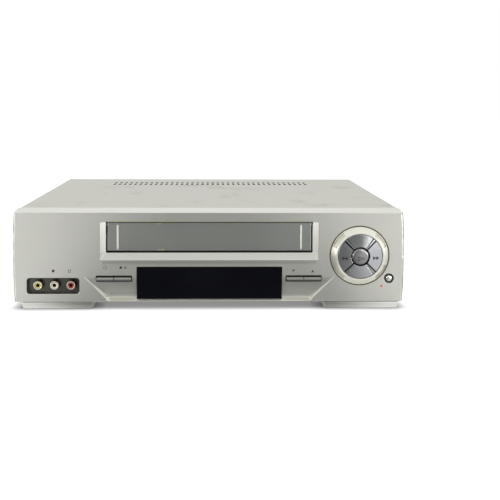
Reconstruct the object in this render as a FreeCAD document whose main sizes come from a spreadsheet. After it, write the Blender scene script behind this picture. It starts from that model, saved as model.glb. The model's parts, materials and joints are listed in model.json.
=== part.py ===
import FreeCAD, Part

import math
import os
import re

import Sketcher

# Video cassette recorder, front load, seen from its front.
# Row frame: X to the right, Y from the front to the back, Z up, millimetres.
# The origin lies under the middle of the machine, on the surface that it stands on.

# Driving sizes: name, value in millimetres (or degrees, or a count), meaning.
SIZES = [
    ("case_width", 380, "widest part of the front moulding"),
    ("case_height", 98, "from the standing surface to the top edge"),
    ("overall_depth", 302, "from the play key to the end of the aerial sockets"),
    ("front_reach", 6.5, "play key in front of the fascia's face"),
    ("rear_reach", 8, "aerial sockets behind the rear panel"),
    ("foot_height", 7, "underside of the case above the surface"),
    ("side_bulge", 1.5, "how far each side of the fascia swells at half height"),
    ("sheet_steel", 0.9, "thickness of the top cover"),
    ("floor_sheet", 1, "thickness of the chassis and the rear panel"),
    ("board_sheet", 1.6, "thickness of a circuit board"),
    ("deck_sheet", 1.5, "thickness of the deck plate"),
    ("play_gap", 0.3, "free gap beside a moving piece"),
    ("running_gap", 0.06, "radial clearance of a turning fit"),
    ("seam_gap", 0.6, "seam between the fascia and the cover"),
    # Fascia shell
    ("rim_depth", 8, "depth of the visible rim of the fascia"),
    ("skin", 3, "thickness of the fascia's face"),
    ("rim_wall", 2.8, "thickness of the rim"),
    ("crown_wall", 0.7, "wall above the hollow, below the foot of the sloping band"),
    ("joggle_depth", 6, "depth at which the rim steps in to the lip"),
    ("lip_depth", 10, "length of the lip that enters the cover"),
    ("lip_wall", 2.2, "thickness of the lip"),
    ("cover_step", 3, "fascia standing out from the cover on each side"),
    ("cover_drop", 0.5, "cover below the top edge of the fascia"),
    ("cover_play", 0.4, "gap between the lip and the cover"),
    ("bottom_wall", 2.2, "thickness of the fascia's underside"),
    ("bevel_drop", 4, "height of the sloping band along the top"),
    ("bevel_depth", 7, "depth of the sloping band along the top"),
    ("edge_round", 1.6, "rounding of the fascia's upright front edges"),
    ("backing_depth", 8, "depth to which the thick parts of the fascia reach"),
    ("backing_margin", 3, "thick part beside an opening"),
    # Cassette mouth and its flap
    ("mouth_width", 200.4, "width of the cassette mouth"),
    ("mouth_low", 55, "lower edge of the cassette mouth"),
    ("mouth_high", 84.9, "upper edge of the cassette mouth"),
    ("bezel_side", 6, "width of the sloping frame at the sides of the mouth"),
    ("bezel_low", 7.2, "width of the sloping frame under the mouth"),
    ("bezel_depth", 4, "depth of the sloping frame"),
    ("frame_depth", 10, "depth of the thick frame that carries the flap"),
    ("frame_margin", 9, "width of the thick frame beside the mouth"),
    ("flap_gap", 1.1, "gap round the flap"),
    ("flap_sheet", 2.5, "thickness of the flap"),
    ("flap_axis_drop", 1.9, "hinge axis below the flap's upper edge"),
    ("flap_pin_radius", 1.2, "radius of the flap's pins"),
    ("flap_pin_grip", 3.5, "length of a pin inside the frame"),
    ("flap_rib_place", 89.3, "ribs of the flap from the middle"),
    ("flap_rib_width", 1.4, "width of a rib"),
    ("flap_rib_height", 0.5, "height of a rib above the flap"),
    ("flap_rib_margin", 2.4, "end of a rib from the edge of the flap"),
    ("flap_back_rib", 3, "depth of the stiffening rib behind the flap"),
    ("flap_back_sheet", 1.2, "thickness of the stiffening rib"),
    # Sloping panel below the mouth
    ("panel_top_half", 121.4, "half width of the sloping panel at its top"),
    ("panel_low_half", 100.5, "half width of the sloping panel at its foot"),
    ("panel_high", 31.3, "top of the sloping panel"),
    ("panel_low", 10.8, "foot of the sloping panel"),
    ("panel_depth", 5, "depth of the panel at its foot"),
    ("panel_taper", 18, "slope of the panel's slanting ends"),
    ("sill_high", 0.6, "blunt front edge of the sill under the panel"),
    ("sill_set_back", 0.6, "front edge of the sill behind the face"),
    # Display window and tube
    ("window_width", 141, "width of the display window"),
    ("window_low", 9.6, "lower edge of the display window"),
    ("window_high", 40.9, "upper edge of the display window"),
    ("window_proud", 0.3, "display window in front of the face"),
    ("window_wall", 2, "thickness of the display window"),
    ("window_gap", 0.25, "gap round the display window"),
    ("window_edge", 0.6, "bevelled edge of the display window"),
    ("window_tab", 3.5, "width of the tabs that hold the window"),
    ("window_tab_sheet", 1.4, "thickness of the tabs"),
    ("window_tab_end", 6, "tabs from the window's upper and lower edge"),
    ("tube_width", 116, "width of the display tube"),
    ("tube_height", 21, "height of the display tube"),
    ("tube_front", 4.5, "glass of the display tube behind the face"),
    ("tube_glass", 6.5, "thickness of the display tube"),
    ("tube_base_margin", 3, "holder of the display tube inside its outline"),
    # Key pairs
    ("pair_left", 92.6, "left key pair from the middle"),
    ("pair_right", 91.8, "right key pair from the middle"),
    ("pair_width", 33.6, "width of a key pair"),
    ("pair_low", 26.9, "lower edge of the key pairs"),
    ("pair_high", 32, "upper edge of the key pairs"),
    ("pair_split", 0.5, "gap between the two keys of a pair"),
    ("pair_gap", 0.5, "gap round a key pair"),
    ("pair_nose", 3.2, "nose of a key in front of the face"),
    ("pair_nose_high", 2.1, "height of a key's lower face"),
    ("pair_nose_back", 0.4, "lower face leaning back at its foot"),
    ("pair_top_back", 0.6, "upper edge of a key behind the face"),
    ("flange_sheet", 1.2, "thickness of a key's stop flange"),
    ("flange_lap", 1.2, "overlap of a key's stop flange"),
    ("key_travel", 1, "travel of every key"),
    # Round keypad
    ("dial_inset", 43.7, "centre of the round keypad from the side"),
    ("dial_z", 52, "centre of the round keypad above the surface"),
    ("dial_socket_radius", 29.15, "radius of the shallow seat in the face"),
    ("dial_socket_depth", 1, "depth of the shallow seat"),
    ("dial_radius", 28.2, "outer radius of the trim ring"),
    ("dial_edge", 0.2, "outer edge of the trim ring in front of the face"),
    ("dial_height", 5, "inner rim of the trim ring in front of the face"),
    ("dial_rim", 1.2, "width of the inner rim"),
    ("dial_bore", 22, "radius inside the trim ring"),
    ("dial_sleeve", 1.5, "thickness of the ring's sleeve behind the face"),
    ("dial_sleeve_gap", 0.2, "gap round the sleeve"),
    ("web_front", 4, "web that carries the round keys, behind the face"),
    ("web_sheet", 1.5, "thickness of the web"),
    ("recess_middle", 37, "middle of a ring recess above the horizontal"),
    ("recess_span", 34, "arc of a ring recess"),
    ("recess_inner", 24.3, "inner radius of a ring recess"),
    ("recess_outer", 27.4, "outer radius of a ring recess"),
    ("recess_depth", 1.1, "depth of a ring recess"),
    ("split_angle", 53, "gaps between the ring keys above the horizontal"),
    ("sector_gap", 0.9, "gap between the ring keys"),
    ("sector_inner", 9.3, "inner radius of the ring keys"),
    ("sector_outer", 21.4, "outer radius of the ring keys"),
    ("sector_inner_proud", 5.1, "inner edge of the ring keys before the face"),
    ("sector_outer_proud", 5.9, "outer edge of the ring keys before the face"),
    ("sector_back", 2, "back of the ring keys behind the face"),
    ("stem_radius", 15.5, "stems of the ring keys from the centre"),
    ("stem_wide", 6.4, "stem of a ring key along the arc"),
    ("stem_deep", 3.4, "stem of a ring key across the arc"),
    ("barb_lap", 1.5, "barb of a stem beside its slot"),
    ("stem_end", 9.1, "end of every stem behind the face"),
    ("play_radius", 8, "radius of the play key"),
    ("play_bevel", 1.2, "bevelled edge of the play key"),
    ("play_stem_radius", 3, "stem of the play key"),
    ("play_gap_ring", 0.5, "gap of the play key in the web"),
    # Record key
    ("record_inset", 14.6, "record key from the side"),
    ("record_z", 29.6, "record key above the surface"),
    ("record_radius", 3.2, "radius of the record key"),
    ("record_proud", 1.2, "record key in front of the face"),
    ("record_bevel", 0.7, "bevelled edge of the record key"),
    ("record_stem_radius", 1.7, "stem of the record key"),
    ("record_well_radius", 4.75, "radius of the well round the record key"),
    ("record_well_depth", 1.2, "depth of the well round the record key"),
    # Front sockets
    ("pocket_inset", 13.3, "left end of the socket pocket from the side"),
    ("pocket_width", 50.8, "width of the socket pocket"),
    ("pocket_low", 14.8, "lower edge of the socket pocket"),
    ("pocket_high", 30.4, "upper edge of the socket pocket"),
    ("pocket_depth", 7, "depth of the socket pocket"),
    ("pocket_wall", 2.5, "wall of the socket pocket"),
    ("pocket_round", 3, "corner radius of the socket pocket"),
    ("jack_inset", 26.6, "middle front socket from the left end of the pocket"),
    ("jack_z", 23.2, "front sockets above the surface"),
    ("jack_pitch", 15.9, "spacing of the front sockets"),
    ("jack_radius", 4.15, "outer radius of a phono socket"),
    ("barrel_step", 0.5, "root of a round socket beside its barrel"),
    ("jack_bore", 3.1, "inner radius of a phono socket's shell"),
    ("jack_hole", 1.6, "radius of the hole in a phono socket"),
    ("jack_reach", 7.5, "phono socket in front of its panel"),
    ("jack_body", 11, "width and height of a phono socket's housing"),
    ("core_set_back", 0.5, "core of a phono socket behind the shell's end"),
    ("core_length", 8, "length of a phono socket's core"),
    # Front board
    ("board_front", 15, "front board behind the face"),
    ("board_inset", 8, "ends of the front board from the sides"),
    ("board_low", 10.5, "lower edge of the front board"),
    ("board_mid", 44, "upper edge of the front board below the mouth"),
    ("board_high", 80, "upper edge of the front board behind the keypad"),
    ("board_step", 112, "inner edge of the tall part of the front board"),
    ("boss_half", 3, "half width of the square bosses that carry the front board"),
    ("boss_inset", 5, "bosses from the edges of the front board"),
    ("switch_size", 6, "width of a key switch"),
    ("switch_front", 11, "body of a key switch behind the face"),
    ("plunger_front", 10.5, "plunger of a key switch behind the face"),
    ("plunger_half", 1.7, "half width of a switch plunger"),
    # Top cover
    ("cover_round", 4, "bend radius of the top cover"),
    ("cover_low", 9.2, "lower edge of the top cover"),
    ("cover_lap", 2.5, "top cover behind the rear panel"),
    ("vent_pitch", 6.4, "spacing of the vent slots"),
    ("vent_count", 38, "vent slots in a row"),
    ("vent_width", 2.5, "width of a vent slot"),
    ("vent_length", 11, "length of a vent slot"),
    ("vent_row_far", 46, "rear row of slots from the back edge"),
    ("vent_row_step", 18, "spacing of the two rows"),
    ("side_vent_count", 8, "vent slots in each side"),
    ("side_vent_low", 30, "lower end of the side slots"),
    ("side_vent_high", 52, "upper end of the side slots"),
    ("side_vent_first", 60, "first side slot from the back edge"),
    ("screw_head_radius", 3.6, "radius of a cover screw's head"),
    ("screw_head_height", 1.8, "height of a cover screw's head"),
    ("screw_radius", 1.5, "radius of a cover screw"),
    ("screw_length", 5, "length of a cover screw under its head"),
    ("screw_z", 20, "cover screws above the surface"),
    ("screw_front", 95, "front cover screw behind the fascia's face"),
    ("screw_rear", 30, "rear cover screw from the cover's back edge"),
    # Chassis and feet
    ("chassis_wall_high", 40, "top of the chassis side walls"),
    ("chassis_start", 19, "front end of the chassis side walls behind the face"),
    ("chassis_play", 0.3, "gap between the chassis wall and the cover"),
    ("foot_inset", 7.4, "outer end of a front foot from the side"),
    ("foot_left_length", 69.5, "length of the left front foot"),
    ("foot_right_length", 70.8, "length of the right front foot"),
    ("foot_bow", 0.5, "lowered seam above a front foot"),
    ("foot_front", 0.8, "front of a foot behind the face"),
    ("foot_seat", 9.2, "front foot bearing on the chassis behind the face"),
    ("foot_depth", 26, "depth of a front foot"),
    ("foot_taper", 3.5, "taper of a foot's outer end"),
    ("foot_round", 1, "rounding of a front foot"),
    ("rear_foot_radius", 11, "radius of a rear foot"),
    ("rear_foot_draft", 1.5, "draft of a rear foot"),
    ("rear_foot_inset", 40, "rear feet from the side"),
    ("rear_foot_y", 28, "rear feet in front of the rear panel"),
    ("pillar_half", 4, "half width of the square pillars under the deck"),
    ("standoff_half", 3, "half width of the square stand-offs under the main board"),
    ("standoff_height", 7, "height of the stand-offs under the main board"),
    # Rear panel and its sockets
    ("panel_top", 95.4, "upper edge of the rear panel"),
    ("scart_x", 8, "first wide socket from the middle"),
    ("scart_pitch", 58, "spacing of the wide sockets"),
    ("scart_width", 47, "width of a wide socket"),
    ("scart_height", 14.5, "height of a wide socket"),
    ("scart_corner", 5, "slanted corner of a wide socket"),
    ("scart_flange", 2.5, "flange of a wide socket behind the panel"),
    ("scart_body_depth", 13, "depth of a wide socket"),
    ("scart_proud", 2, "wide socket standing out of the panel"),
    ("scart_groove", 1.6, "groove of a wide socket"),
    ("scart_groove_wall", 1.5, "wall outside the groove"),
    ("scart_groove_depth", 9, "depth of the groove"),
    ("contact_pitch", 3.81, "spacing of the contacts"),
    ("contact_width", 1.2, "width of a contact slot"),
    ("contact_height", 2.6, "height of a contact slot"),
    ("contact_count", 10, "contact slots in a row"),
    ("contact_row", 5, "spacing of the two rows of contact slots"),
    ("contact_depth", 7, "depth of a contact slot"),
    ("tuner_inset", 40, "aerial unit from the side"),
    ("tuner_width", 42, "width of the aerial unit"),
    ("tuner_depth", 62, "depth of the aerial unit"),
    ("tuner_height", 46, "height of the aerial unit"),
    ("tuner_lid", 0.8, "step of the aerial unit's lid"),
    ("aerial_low", 13, "lower aerial socket above the board"),
    ("aerial_pitch", 19, "spacing of the aerial sockets"),
    ("aerial_radius", 4.75, "outer radius of an aerial socket"),
    ("aerial_bore", 4.2, "inner radius of an aerial socket"),
    ("aerial_bore_depth", 7, "depth of an aerial socket"),
    ("aerial_pin_radius", 1.15, "radius of the aerial socket's pin"),
    ("rear_jack_x", 58, "first rear phono socket from the middle"),
    ("rear_jack_z", 13, "rear phono sockets above the board"),
    ("rear_jack_plate", 2, "plate of the rear phono sockets beside them"),
    ("inlet_inset", 40, "mains inlet from the side"),
    ("inlet_width", 21, "width of the mains inlet"),
    ("inlet_height", 13, "height of the mains inlet"),
    ("inlet_depth", 18, "depth of the mains inlet"),
    ("inlet_wall", 2, "wall of the mains inlet"),
    ("inlet_well", 13, "depth of the mains inlet's well"),
    ("inlet_pin_radius", 1.2, "radius of the mains pins"),
    ("inlet_pin_pitch", 8.6, "spacing of the mains pins"),
    ("inlet_flange", 2.5, "flange of the mains inlet behind the panel"),
    # Main board and power supply
    ("main_inset", 9, "sides of the main board from the sides"),
    ("main_front", 26, "main board behind the fascia's face"),
    ("main_rear", 3, "main board in front of the rear panel"),
    ("transformer_inset", 40, "transformer from the side"),
    ("transformer_y", 62, "transformer in front of the rear panel"),
    ("core_width", 54, "width of the transformer's core"),
    ("core_height", 46, "height of the transformer's core"),
    ("core_depth", 24, "thickness of the transformer's core"),
    ("core_limb", 9, "limb of the transformer's core"),
    ("winding_depth", 42, "depth of the transformer's winding"),
    ("sink_y", 115, "heat sink in front of the rear panel"),
    ("sink_width", 44, "width of the heat sink"),
    ("sink_height", 40, "height of the heat sink"),
    ("sink_base", 3, "base of the heat sink"),
    ("fin_count", 8, "fins of the heat sink"),
    ("fin_sheet", 1.6, "thickness of a fin"),
    ("fin_depth", 15, "depth of the fins"),
    ("can_radius", 11, "radius of the smoothing capacitor"),
    ("can_height", 35, "height of the smoothing capacitor"),
    ("small_can_radius", 6.3, "radius of the small capacitors"),
    ("small_can_height", 20, "height of the small capacitors"),
    ("small_can_pitch", 19, "spacing of the small capacitors"),
    ("chip_width", 36, "length of the large chips"),
    ("chip_depth", 14, "width of the large chips"),
    ("chip_height", 4, "height of the chips"),
    ("chip_pitch", 21, "spacing of the large chips"),
    # Tape deck
    ("deck_half", 112, "half width of the deck plate"),
    ("deck_front", 42, "deck plate behind the fascia's face"),
    ("deck_rear", 27, "deck plate in front of the rear panel"),
    ("deck_top", 28, "upper face of the deck plate"),
    ("deck_corner", 7, "pillars from the edges of the deck plate"),
    ("cassette_width", 188, "width of a cassette"),
    ("cassette_height", 25, "height of a cassette"),
    ("cassette_seat", 35.5, "underside of a lowered cassette"),
    ("cassette_drop", 20, "drop of the cassette on to the deck"),
    ("cassette_back", 21.5, "rear edge of a loaded cassette"),
    ("cassette_play", 0.6, "gap on each side of the cassette"),
    ("carriage_sheet", 0.8, "thickness of the cassette holder and its slide"),
    ("slide_gap", 0.5, "gap between the holder and its slide"),
    ("holder_depth", 50, "depth of the cassette holder"),
    ("holder_ledge", 12.4, "width of the ledges under the cassette"),
    ("holder_window", 60, "width of the windows in the holder's top"),
    ("holder_window_depth", 28, "depth of the windows in the holder's top"),
    ("holder_window_place", 45, "windows in the holder's top from the middle"),
    ("slide_travel", 80, "travel of the cassette slide"),
    ("slide_front", 30, "front edge of the slide before the middle"),
    ("slide_rear", 26, "rear edge of the slide behind the middle"),
    ("slide_low", 50, "lower edge of the slide"),
    ("slide_high", 84.8, "upper face of the slide"),
    ("slide_bar_front", 12, "depth of the slide's cross bar"),
    ("bracket_gap", 0.8, "gap between the slide and its bracket"),
    ("bracket_sheet", 1.2, "thickness of a deck bracket"),
    ("bracket_high", 86, "upper edge of a deck bracket"),
    ("bracket_front", 108, "front edge of a deck bracket before the middle"),
    ("bracket_foot", 8, "foot of a deck bracket"),
    ("bracket_web_low", 42, "lower edge of the hole in a deck bracket"),
    ("bracket_web_high", 60, "upper edge of the hole in a deck bracket"),
    ("bracket_web_end", 16, "hole of a deck bracket from its ends"),
    ("guide_pin_radius", 1.5, "radius of the carriage pins"),
    ("slide_pin_z", 68, "pins of the slide above the surface"),
    ("slide_pin_front", 20, "front pin of the slide before the middle"),
    ("slide_pin_rear", 14, "rear pin of the slide behind the middle"),
    ("slide_pin_reach", 2.6, "length of the slide's pins"),
    ("holder_pin_z", 74, "pins of the holder above the surface"),
    ("holder_pin_front", 26, "front pin of the holder before the middle"),
    ("holder_pin_rear", 4, "rear pin of the holder behind the middle"),
    ("holder_pin_reach", 1.7, "length of the holder's pins"),
    # Reels and idler
    ("reel_pitch", 92, "spacing of the reels"),
    ("reel_y", 38.5, "reels before the middle"),
    ("reel_radius", 24, "radius of a reel table"),
    ("reel_lift", 1, "reel table above the deck plate"),
    ("reel_rim", 4, "height of a reel table's rim"),
    ("hub_radius", 8.5, "radius of a reel hub"),
    ("hub_height", 7, "height of a reel hub"),
    ("spindle_radius", 4.2, "radius of a reel spindle"),
    ("spindle_height", 17, "height of a reel spindle"),
    ("spline_reach", 1.8, "depth of a spline on the spindle"),
    ("spline_width", 1.6, "width of a spline"),
    ("spline_count", 3, "splines on a spindle"),
    ("axle_radius", 1.5, "radius of the axles on the deck plate"),
    ("axle_height", 15, "height of the reel axles"),
    ("idler_y", 18, "idler pivot before the middle"),
    ("idler_length", 22, "length of the idler arm"),
    ("idler_radius", 13.5, "radius of the idler wheel"),
    ("idler_height", 4, "height of the idler wheel"),
    ("arm_width", 8, "width of the deck's arms"),
    ("arm_sheet", 1.2, "thickness of the deck's arms"),
    ("idler_axle_height", 8, "height of the short axles"),
    # Drum and tape path
    ("drum_y", 66, "drum axis behind the middle"),
    ("drum_radius", 31, "radius of the drum"),
    ("drum_tilt", 5.9, "lean of the drum axis"),
    ("drum_low_height", 17, "height of the fixed lower drum"),
    ("drum_high_height", 15, "height of the turning upper drum"),
    ("drum_lap", 0.3, "gap between the two halves of the drum"),
    ("drum_root", 4, "foot of the lower drum before it is trimmed level"),
    ("drum_cap_radius", 12, "radius of the rotor on the drum"),
    ("drum_cap_height", 3, "height of the rotor on the drum"),
    ("head_notch", 2.5, "notches for the video heads"),
    ("capstan_x", 62, "capstan from the middle"),
    ("capstan_y", 33, "capstan behind the middle"),
    ("capstan_radius", 2, "radius of the capstan"),
    ("capstan_top", 29, "capstan above the deck plate"),
    ("flywheel_radius", 22, "radius of the flywheel"),
    ("flywheel_height", 5, "height of the flywheel"),
    ("flywheel_gap", 2, "flywheel below the deck plate"),
    ("bearing_radius", 4, "radius of the capstan bearing"),
    ("bearing_height", 12, "height of the capstan bearing"),
    ("pinch_x", 80, "pinch arm pivot from the middle"),
    ("pinch_y", 10, "pinch arm pivot behind the middle"),
    ("pinch_length", 24.5, "length of the pinch arm"),
    ("pinch_rest", 172, "direction of the pinch arm at rest"),
    ("pinch_radius", 6.5, "radius of the pinch roller"),
    ("pinch_low", 13, "underside of the pinch roller above the deck"),
    ("roller_height", 13, "height of the tape rollers"),
    ("shoulder_radius", 2.7, "shoulder under the pinch roller"),
    ("post_radius", 1.5, "radius of the tape posts"),
    ("post_end", 0.6, "end of a post above its roller"),
    ("guide_rest_x", 24, "tape guides at rest from the middle"),
    ("guide_rest_y", 4, "tape guides at rest behind the middle"),
    ("guide_end_x", 44, "tape guides at the drum from the middle"),
    ("guide_base", 12, "width of a tape guide's base"),
    ("guide_base_length", 15, "length of a tape guide's base"),
    ("guide_base_height", 4, "height of a tape guide's base"),
    ("guide_key_half", 2, "half width of a tape guide's key in its track"),
    ("guide_key_reach", 3, "half length of a tape guide's key"),
    ("guide_roller_radius", 3.2, "radius of a tape guide's roller"),
    ("guide_flange_radius", 4.4, "radius of a tape guide's flange"),
    ("guide_flange", 0.7, "thickness of a tape guide's flange"),
    ("guide_lean", 18, "lean of the slanted tape post"),
    ("slant_radius", 1, "radius of the slanted tape post"),
    ("slant_step", 4.5, "foot of the slanted tape post beside the roller"),
    ("slant_length", 22, "length of the slanted tape post"),
    ("head_x", 57, "tape heads from the middle"),
    ("head_y", 46, "tape heads behind the middle"),
    ("head_width", 10, "width of a tape head"),
    ("head_depth", 8, "depth of a tape head"),
    ("head_top", 27, "top of a tape head above the deck"),
    ("head_base", 15, "base plate of a tape head"),
    ("head_base_height", 3, "thickness of the base plate"),
    ("head_heel", 5, "base plate behind the head"),
    # Loading drive
    ("cam_x", 76, "loading gear from the middle"),
    ("cam_y", 84, "loading gear behind the middle"),
    ("cam_radius", 18.8, "root radius of the loading gear"),
    ("cam_teeth", 36, "teeth of the loading gear"),
    ("tooth_height", 1.2, "height of a tooth"),
    ("tooth_width", 1.5, "width of a tooth"),
    ("cam_height", 6, "height of the loading gear"),
    ("cam_hub", 6, "radius of the loading gear's hub"),
    ("cam_track_inner", 9, "inner radius of the cam track"),
    ("cam_track_outer", 13, "outer radius of the cam track"),
    ("cam_track_depth", 3, "depth of the cam track"),
    ("worm_radius", 4.5, "outer radius of the worm"),
    ("worm_length", 16.5, "length of the worm"),
    ("motor_shaft", 1, "radius of the motor's shaft"),
    ("motor_step", 7.3, "shaft between the worm and the motor's plate"),
    ("motor_radius", 11, "radius of the loading motor"),
    ("motor_length", 24, "length of the loading motor"),
    ("motor_bore", 6, "depth of the motor's bearing"),
    ("motor_plate", 2, "thickness of the motor's mounting plate"),
]

# Places that follow from the driving sizes, in the same units.
PLACES = [
    ("face_y", "front_reach - overall_depth / 2"),
    ("rear_y", "overall_depth / 2 - rear_reach"),
    ("half_width", "case_width / 2"),
    ("dial_x", "half_width - dial_inset"),
    ("record_x", "half_width - record_inset"),
    ("pocket_left", "half_width - pocket_inset"),
    ("pocket_right", "pocket_left - pocket_width"),
    ("jack_x", "pocket_left - jack_inset"),
    ("board_half", "half_width - board_inset"),
    ("foot_outer", "half_width - foot_inset"),
    ("foot_left_inner", "foot_outer - foot_left_length"),
    ("foot_right_inner", "foot_outer - foot_right_length"),
    ("rear_foot_x", "half_width - rear_foot_inset"),
    ("tuner_x", "half_width - tuner_inset"),
    ("inlet_x", "half_width - inlet_inset"),
    ("main_half", "half_width - main_inset"),
    ("transformer_x", "half_width - transformer_inset"),
    ("edge_half", "half_width - side_bulge"),
    ("side_radius", "((case_height - foot_height)^2 / 4 + side_bulge^2) / (2 * side_bulge)"),
    ("cover_half", "half_width - cover_step"),
    ("cover_inner", "cover_half - sheet_steel"),
    ("cover_top", "case_height - cover_drop"),
    ("cover_rear", "rear_y + cover_lap"),
    ("cover_front", "face_y + rim_depth + seam_gap"),
    ("lip_half", "cover_inner - cover_play"),
    ("lip_top", "cover_top - sheet_steel - cover_play"),
    ("lip_end", "rim_depth + lip_depth"),
    ("floor_top", "foot_height + floor_sheet"),
    ("hollow_low", "foot_height + bottom_wall"),
    ("mouth_half", "mouth_width / 2"),
    ("flap_half", "mouth_half - flap_gap"),
    ("flap_height", "mouth_high - mouth_low - 2 * flap_gap"),
    ("flap_axis_y", "bezel_depth + flap_sheet / 2"),
    ("flap_axis_z", "mouth_high - flap_gap - flap_axis_drop"),
    ("panel_slope", "(panel_top_half - panel_low_half) / (panel_high - panel_low)"),
    ("window_half", "window_width / 2"),
    ("pair_mid", "(pair_low + pair_high) / 2"),
    ("web_back", "web_front + web_sheet"),
    ("ring_slope", "(dial_height - dial_edge) / (dial_radius - dial_bore - dial_rim)"),
    ("ring_key_end", "web_back + flange_sheet"),
    ("sector_trim", "asin(sector_gap / 2 / sector_outer) / 1 deg"),
    ("main_low", "floor_top + standoff_height"),
    ("main_top", "main_low + board_sheet"),
    ("chassis_half", "cover_inner - chassis_play"),
    ("deck_front_y", "face_y + deck_front"),
    ("deck_rear_y", "rear_y - deck_rear"),
    ("deck_low", "deck_top - deck_sheet"),
    ("raised_seat", "cassette_seat + cassette_drop"),
    ("holder_inner", "cassette_width / 2 + cassette_play"),
    ("holder_outer", "holder_inner + carriage_sheet"),
    ("holder_low", "raised_seat - play_gap - carriage_sheet"),
    ("holder_high", "raised_seat + cassette_height + cassette_play + carriage_sheet"),
    ("slide_inner", "holder_outer + slide_gap"),
    ("slide_outer", "slide_inner + carriage_sheet"),
    ("bracket_inner", "slide_outer + bracket_gap"),
    ("bracket_outer", "bracket_inner + bracket_sheet"),
    ("reel_x", "reel_pitch / 2"),
    ("reel_low", "deck_top + reel_lift"),
    ("arm_low", "deck_top + play_gap"),
    ("tape_low", "cassette_seat + cassette_height / 2 - roller_height / 2 - deck_top"),
    ("pinch_roller_x", "pinch_length * cos(pinch_rest)"),
    ("pinch_roller_y", "pinch_length * sin(pinch_rest)"),
    ("guide_run_x", "guide_end_x - guide_rest_x"),
    ("guide_run_y", "drum_y - guide_rest_y"),
    ("guide_angle", "atan(guide_run_x / guide_run_y) / 1 deg"),
    ("guide_run", "sqrt(guide_run_x^2 + guide_run_y^2)"),
    ("motor_z", "deck_top + motor_radius + play_gap"),
    ("cam_low", "motor_z - cam_height / 2"),
    ("worm_x", "cam_x + cam_radius + tooth_height + play_gap + worm_radius"),
    ("worm_half", "worm_length / 2"),
    ("scart_z", "main_top + scart_flange + scart_height / 2"),
    ("inlet_z", "main_top + inlet_flange + inlet_height / 2"),
]

Vector = FreeCAD.Vector
Rotation = FreeCAD.Rotation
AXES = {"X": Vector(1, 0, 0), "Y": Vector(0, 1, 0), "Z": Vector(0, 0, 1)}
TURN_FROM_Z = {"X": Rotation(AXES["Y"], 90), "Y": Rotation(AXES["X"], -90), "Z": Rotation()}
PLANES = {"front": "XZ_Plane", "side": "YZ_Plane", "top": "XY_Plane"}
FULL_TURN = 360
TOUCH = 0.001
NEAR = 0.01
START, END, CENTRE = 1, 2, 3
ORIGIN_POINT = (-1, 1)

doc = FreeCAD.newDocument("VideoRecorder")
sheet = doc.addObject("Spreadsheet::Sheet", "Sizes")
places = doc.addObject("App::VarSet", "Places")
owners = {}
nodes = []


def fill_sheet():
    """Write the driving sizes to the sheet and the places that follow from them."""
    for row, (alias, size, meaning) in enumerate(SIZES, 1):
        sheet.set(f"A{row}", meaning)
        sheet.set(f"B{row}", str(size))
        sheet.setAlias(f"B{row}", alias)
        owners[alias] = "Sizes"
    doc.recompute()
    for alias, formula in PLACES:
        places.addProperty("App::PropertyFloat", alias, "Base")
        places.setExpression(alias, expression(formula))
        owners[alias] = "Places"
    doc.recompute()


def expression(text):
    """Put the owner's name before each size or place in a formula."""
    def owned(match):
        word = match.group(0)
        return f"{owners[word]}.{word}" if word in owners else word
    return re.sub(r"[a-z]\w*", owned, str(text))


def number(text):
    """Present value of a formula."""
    result = places.evalExpression(expression(text))
    return float(getattr(result, "Value", result))


def bind(item, **formulas):
    """Tie properties of an object to formulas; a double underscore stands for a dot."""
    for path, formula in formulas.items():
        item.setExpression(path.replace("__", "."), expression(formula))


def move(item, x="0", y="0", z="0"):
    """Tie an object's place to formulas."""
    bind(item, Placement__Base__x=x, Placement__Base__y=y, Placement__Base__z=z)
    return item


def keep(label, item, x="0", y="0", z="0"):
    """Give a finished sub-part its label and its place."""
    item.Label = label
    nodes.append(item)
    return move(item, x, y, z)


def block(x, y, z):
    """Box between pairs of formulas along X, Y and Z."""
    item = doc.addObject("Part::Box", "Block")
    bind(item, Length=f"({x[1]}) - ({x[0]})", Width=f"({y[1]}) - ({y[0]})",
         Height=f"({z[1]}) - ({z[0]})")
    return move(item, x[0], y[0], z[0])


def rod(axis, radius, start, length, across=("0", "0")):
    """Cylinder along an axis; across gives its place along the other two axes."""
    item = doc.addObject("Part::Cylinder", "Rod")
    item.Placement = FreeCAD.Placement(Vector(), TURN_FROM_Z[axis])
    bind(item, Radius=radius, Height=length)
    base = dict(zip([name for name in "XYZ" if name != axis], across))
    base[axis] = start
    return move(item, base["X"], base["Y"], base["Z"])


def join(*items):
    """One solid, or a group of separate solids, from several objects."""
    item = doc.addObject("Part::MultiFuse", "Join")
    item.Shapes = list(items)
    item.Refine = True
    return item


def cut(base, *tools):
    """An object less the others."""
    item = doc.addObject("Part::Cut", "Cut")
    item.Base = base
    item.Tool = tools[0] if len(tools) == 1 else join(*tools)
    item.Refine = True
    return item


def mirrored(base, axis="X"):
    """Copy of an object on the other side of the middle plane."""
    item = doc.addObject("Part::Mirroring", "Mirrored")
    item.Source = base
    item.Normal = AXES[axis]
    return item


def rectangle(x0, x1, y0, y1):
    """Corners of a rectangle, counter-clockwise."""
    return [(x0, y0), (x1, y0), (x1, y1), (x0, y1)]


def square(x, y, half):
    """Corners of a square about a point."""
    return rectangle(f"{x} - ({half})", f"{x} + {half}", f"{y} - ({half})", f"{y} + {half}")


def round_hole(x, y, radius):
    """A circle for a sketch."""
    return ("circle", x, y, radius)


def fix_point(sketch, geometry, end, x, y):
    """Tie a point of a sketch to two formulas measured from the sketch's origin."""
    for kind, formula in (("DistanceX", x), ("DistanceY", y)):
        place = Sketcher.Constraint(kind, *ORIGIN_POINT, geometry, end, number(formula))
        index = sketch.addConstraint(place)
        sketch.setExpression(f"Constraints[{index}]", expression(formula))


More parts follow.
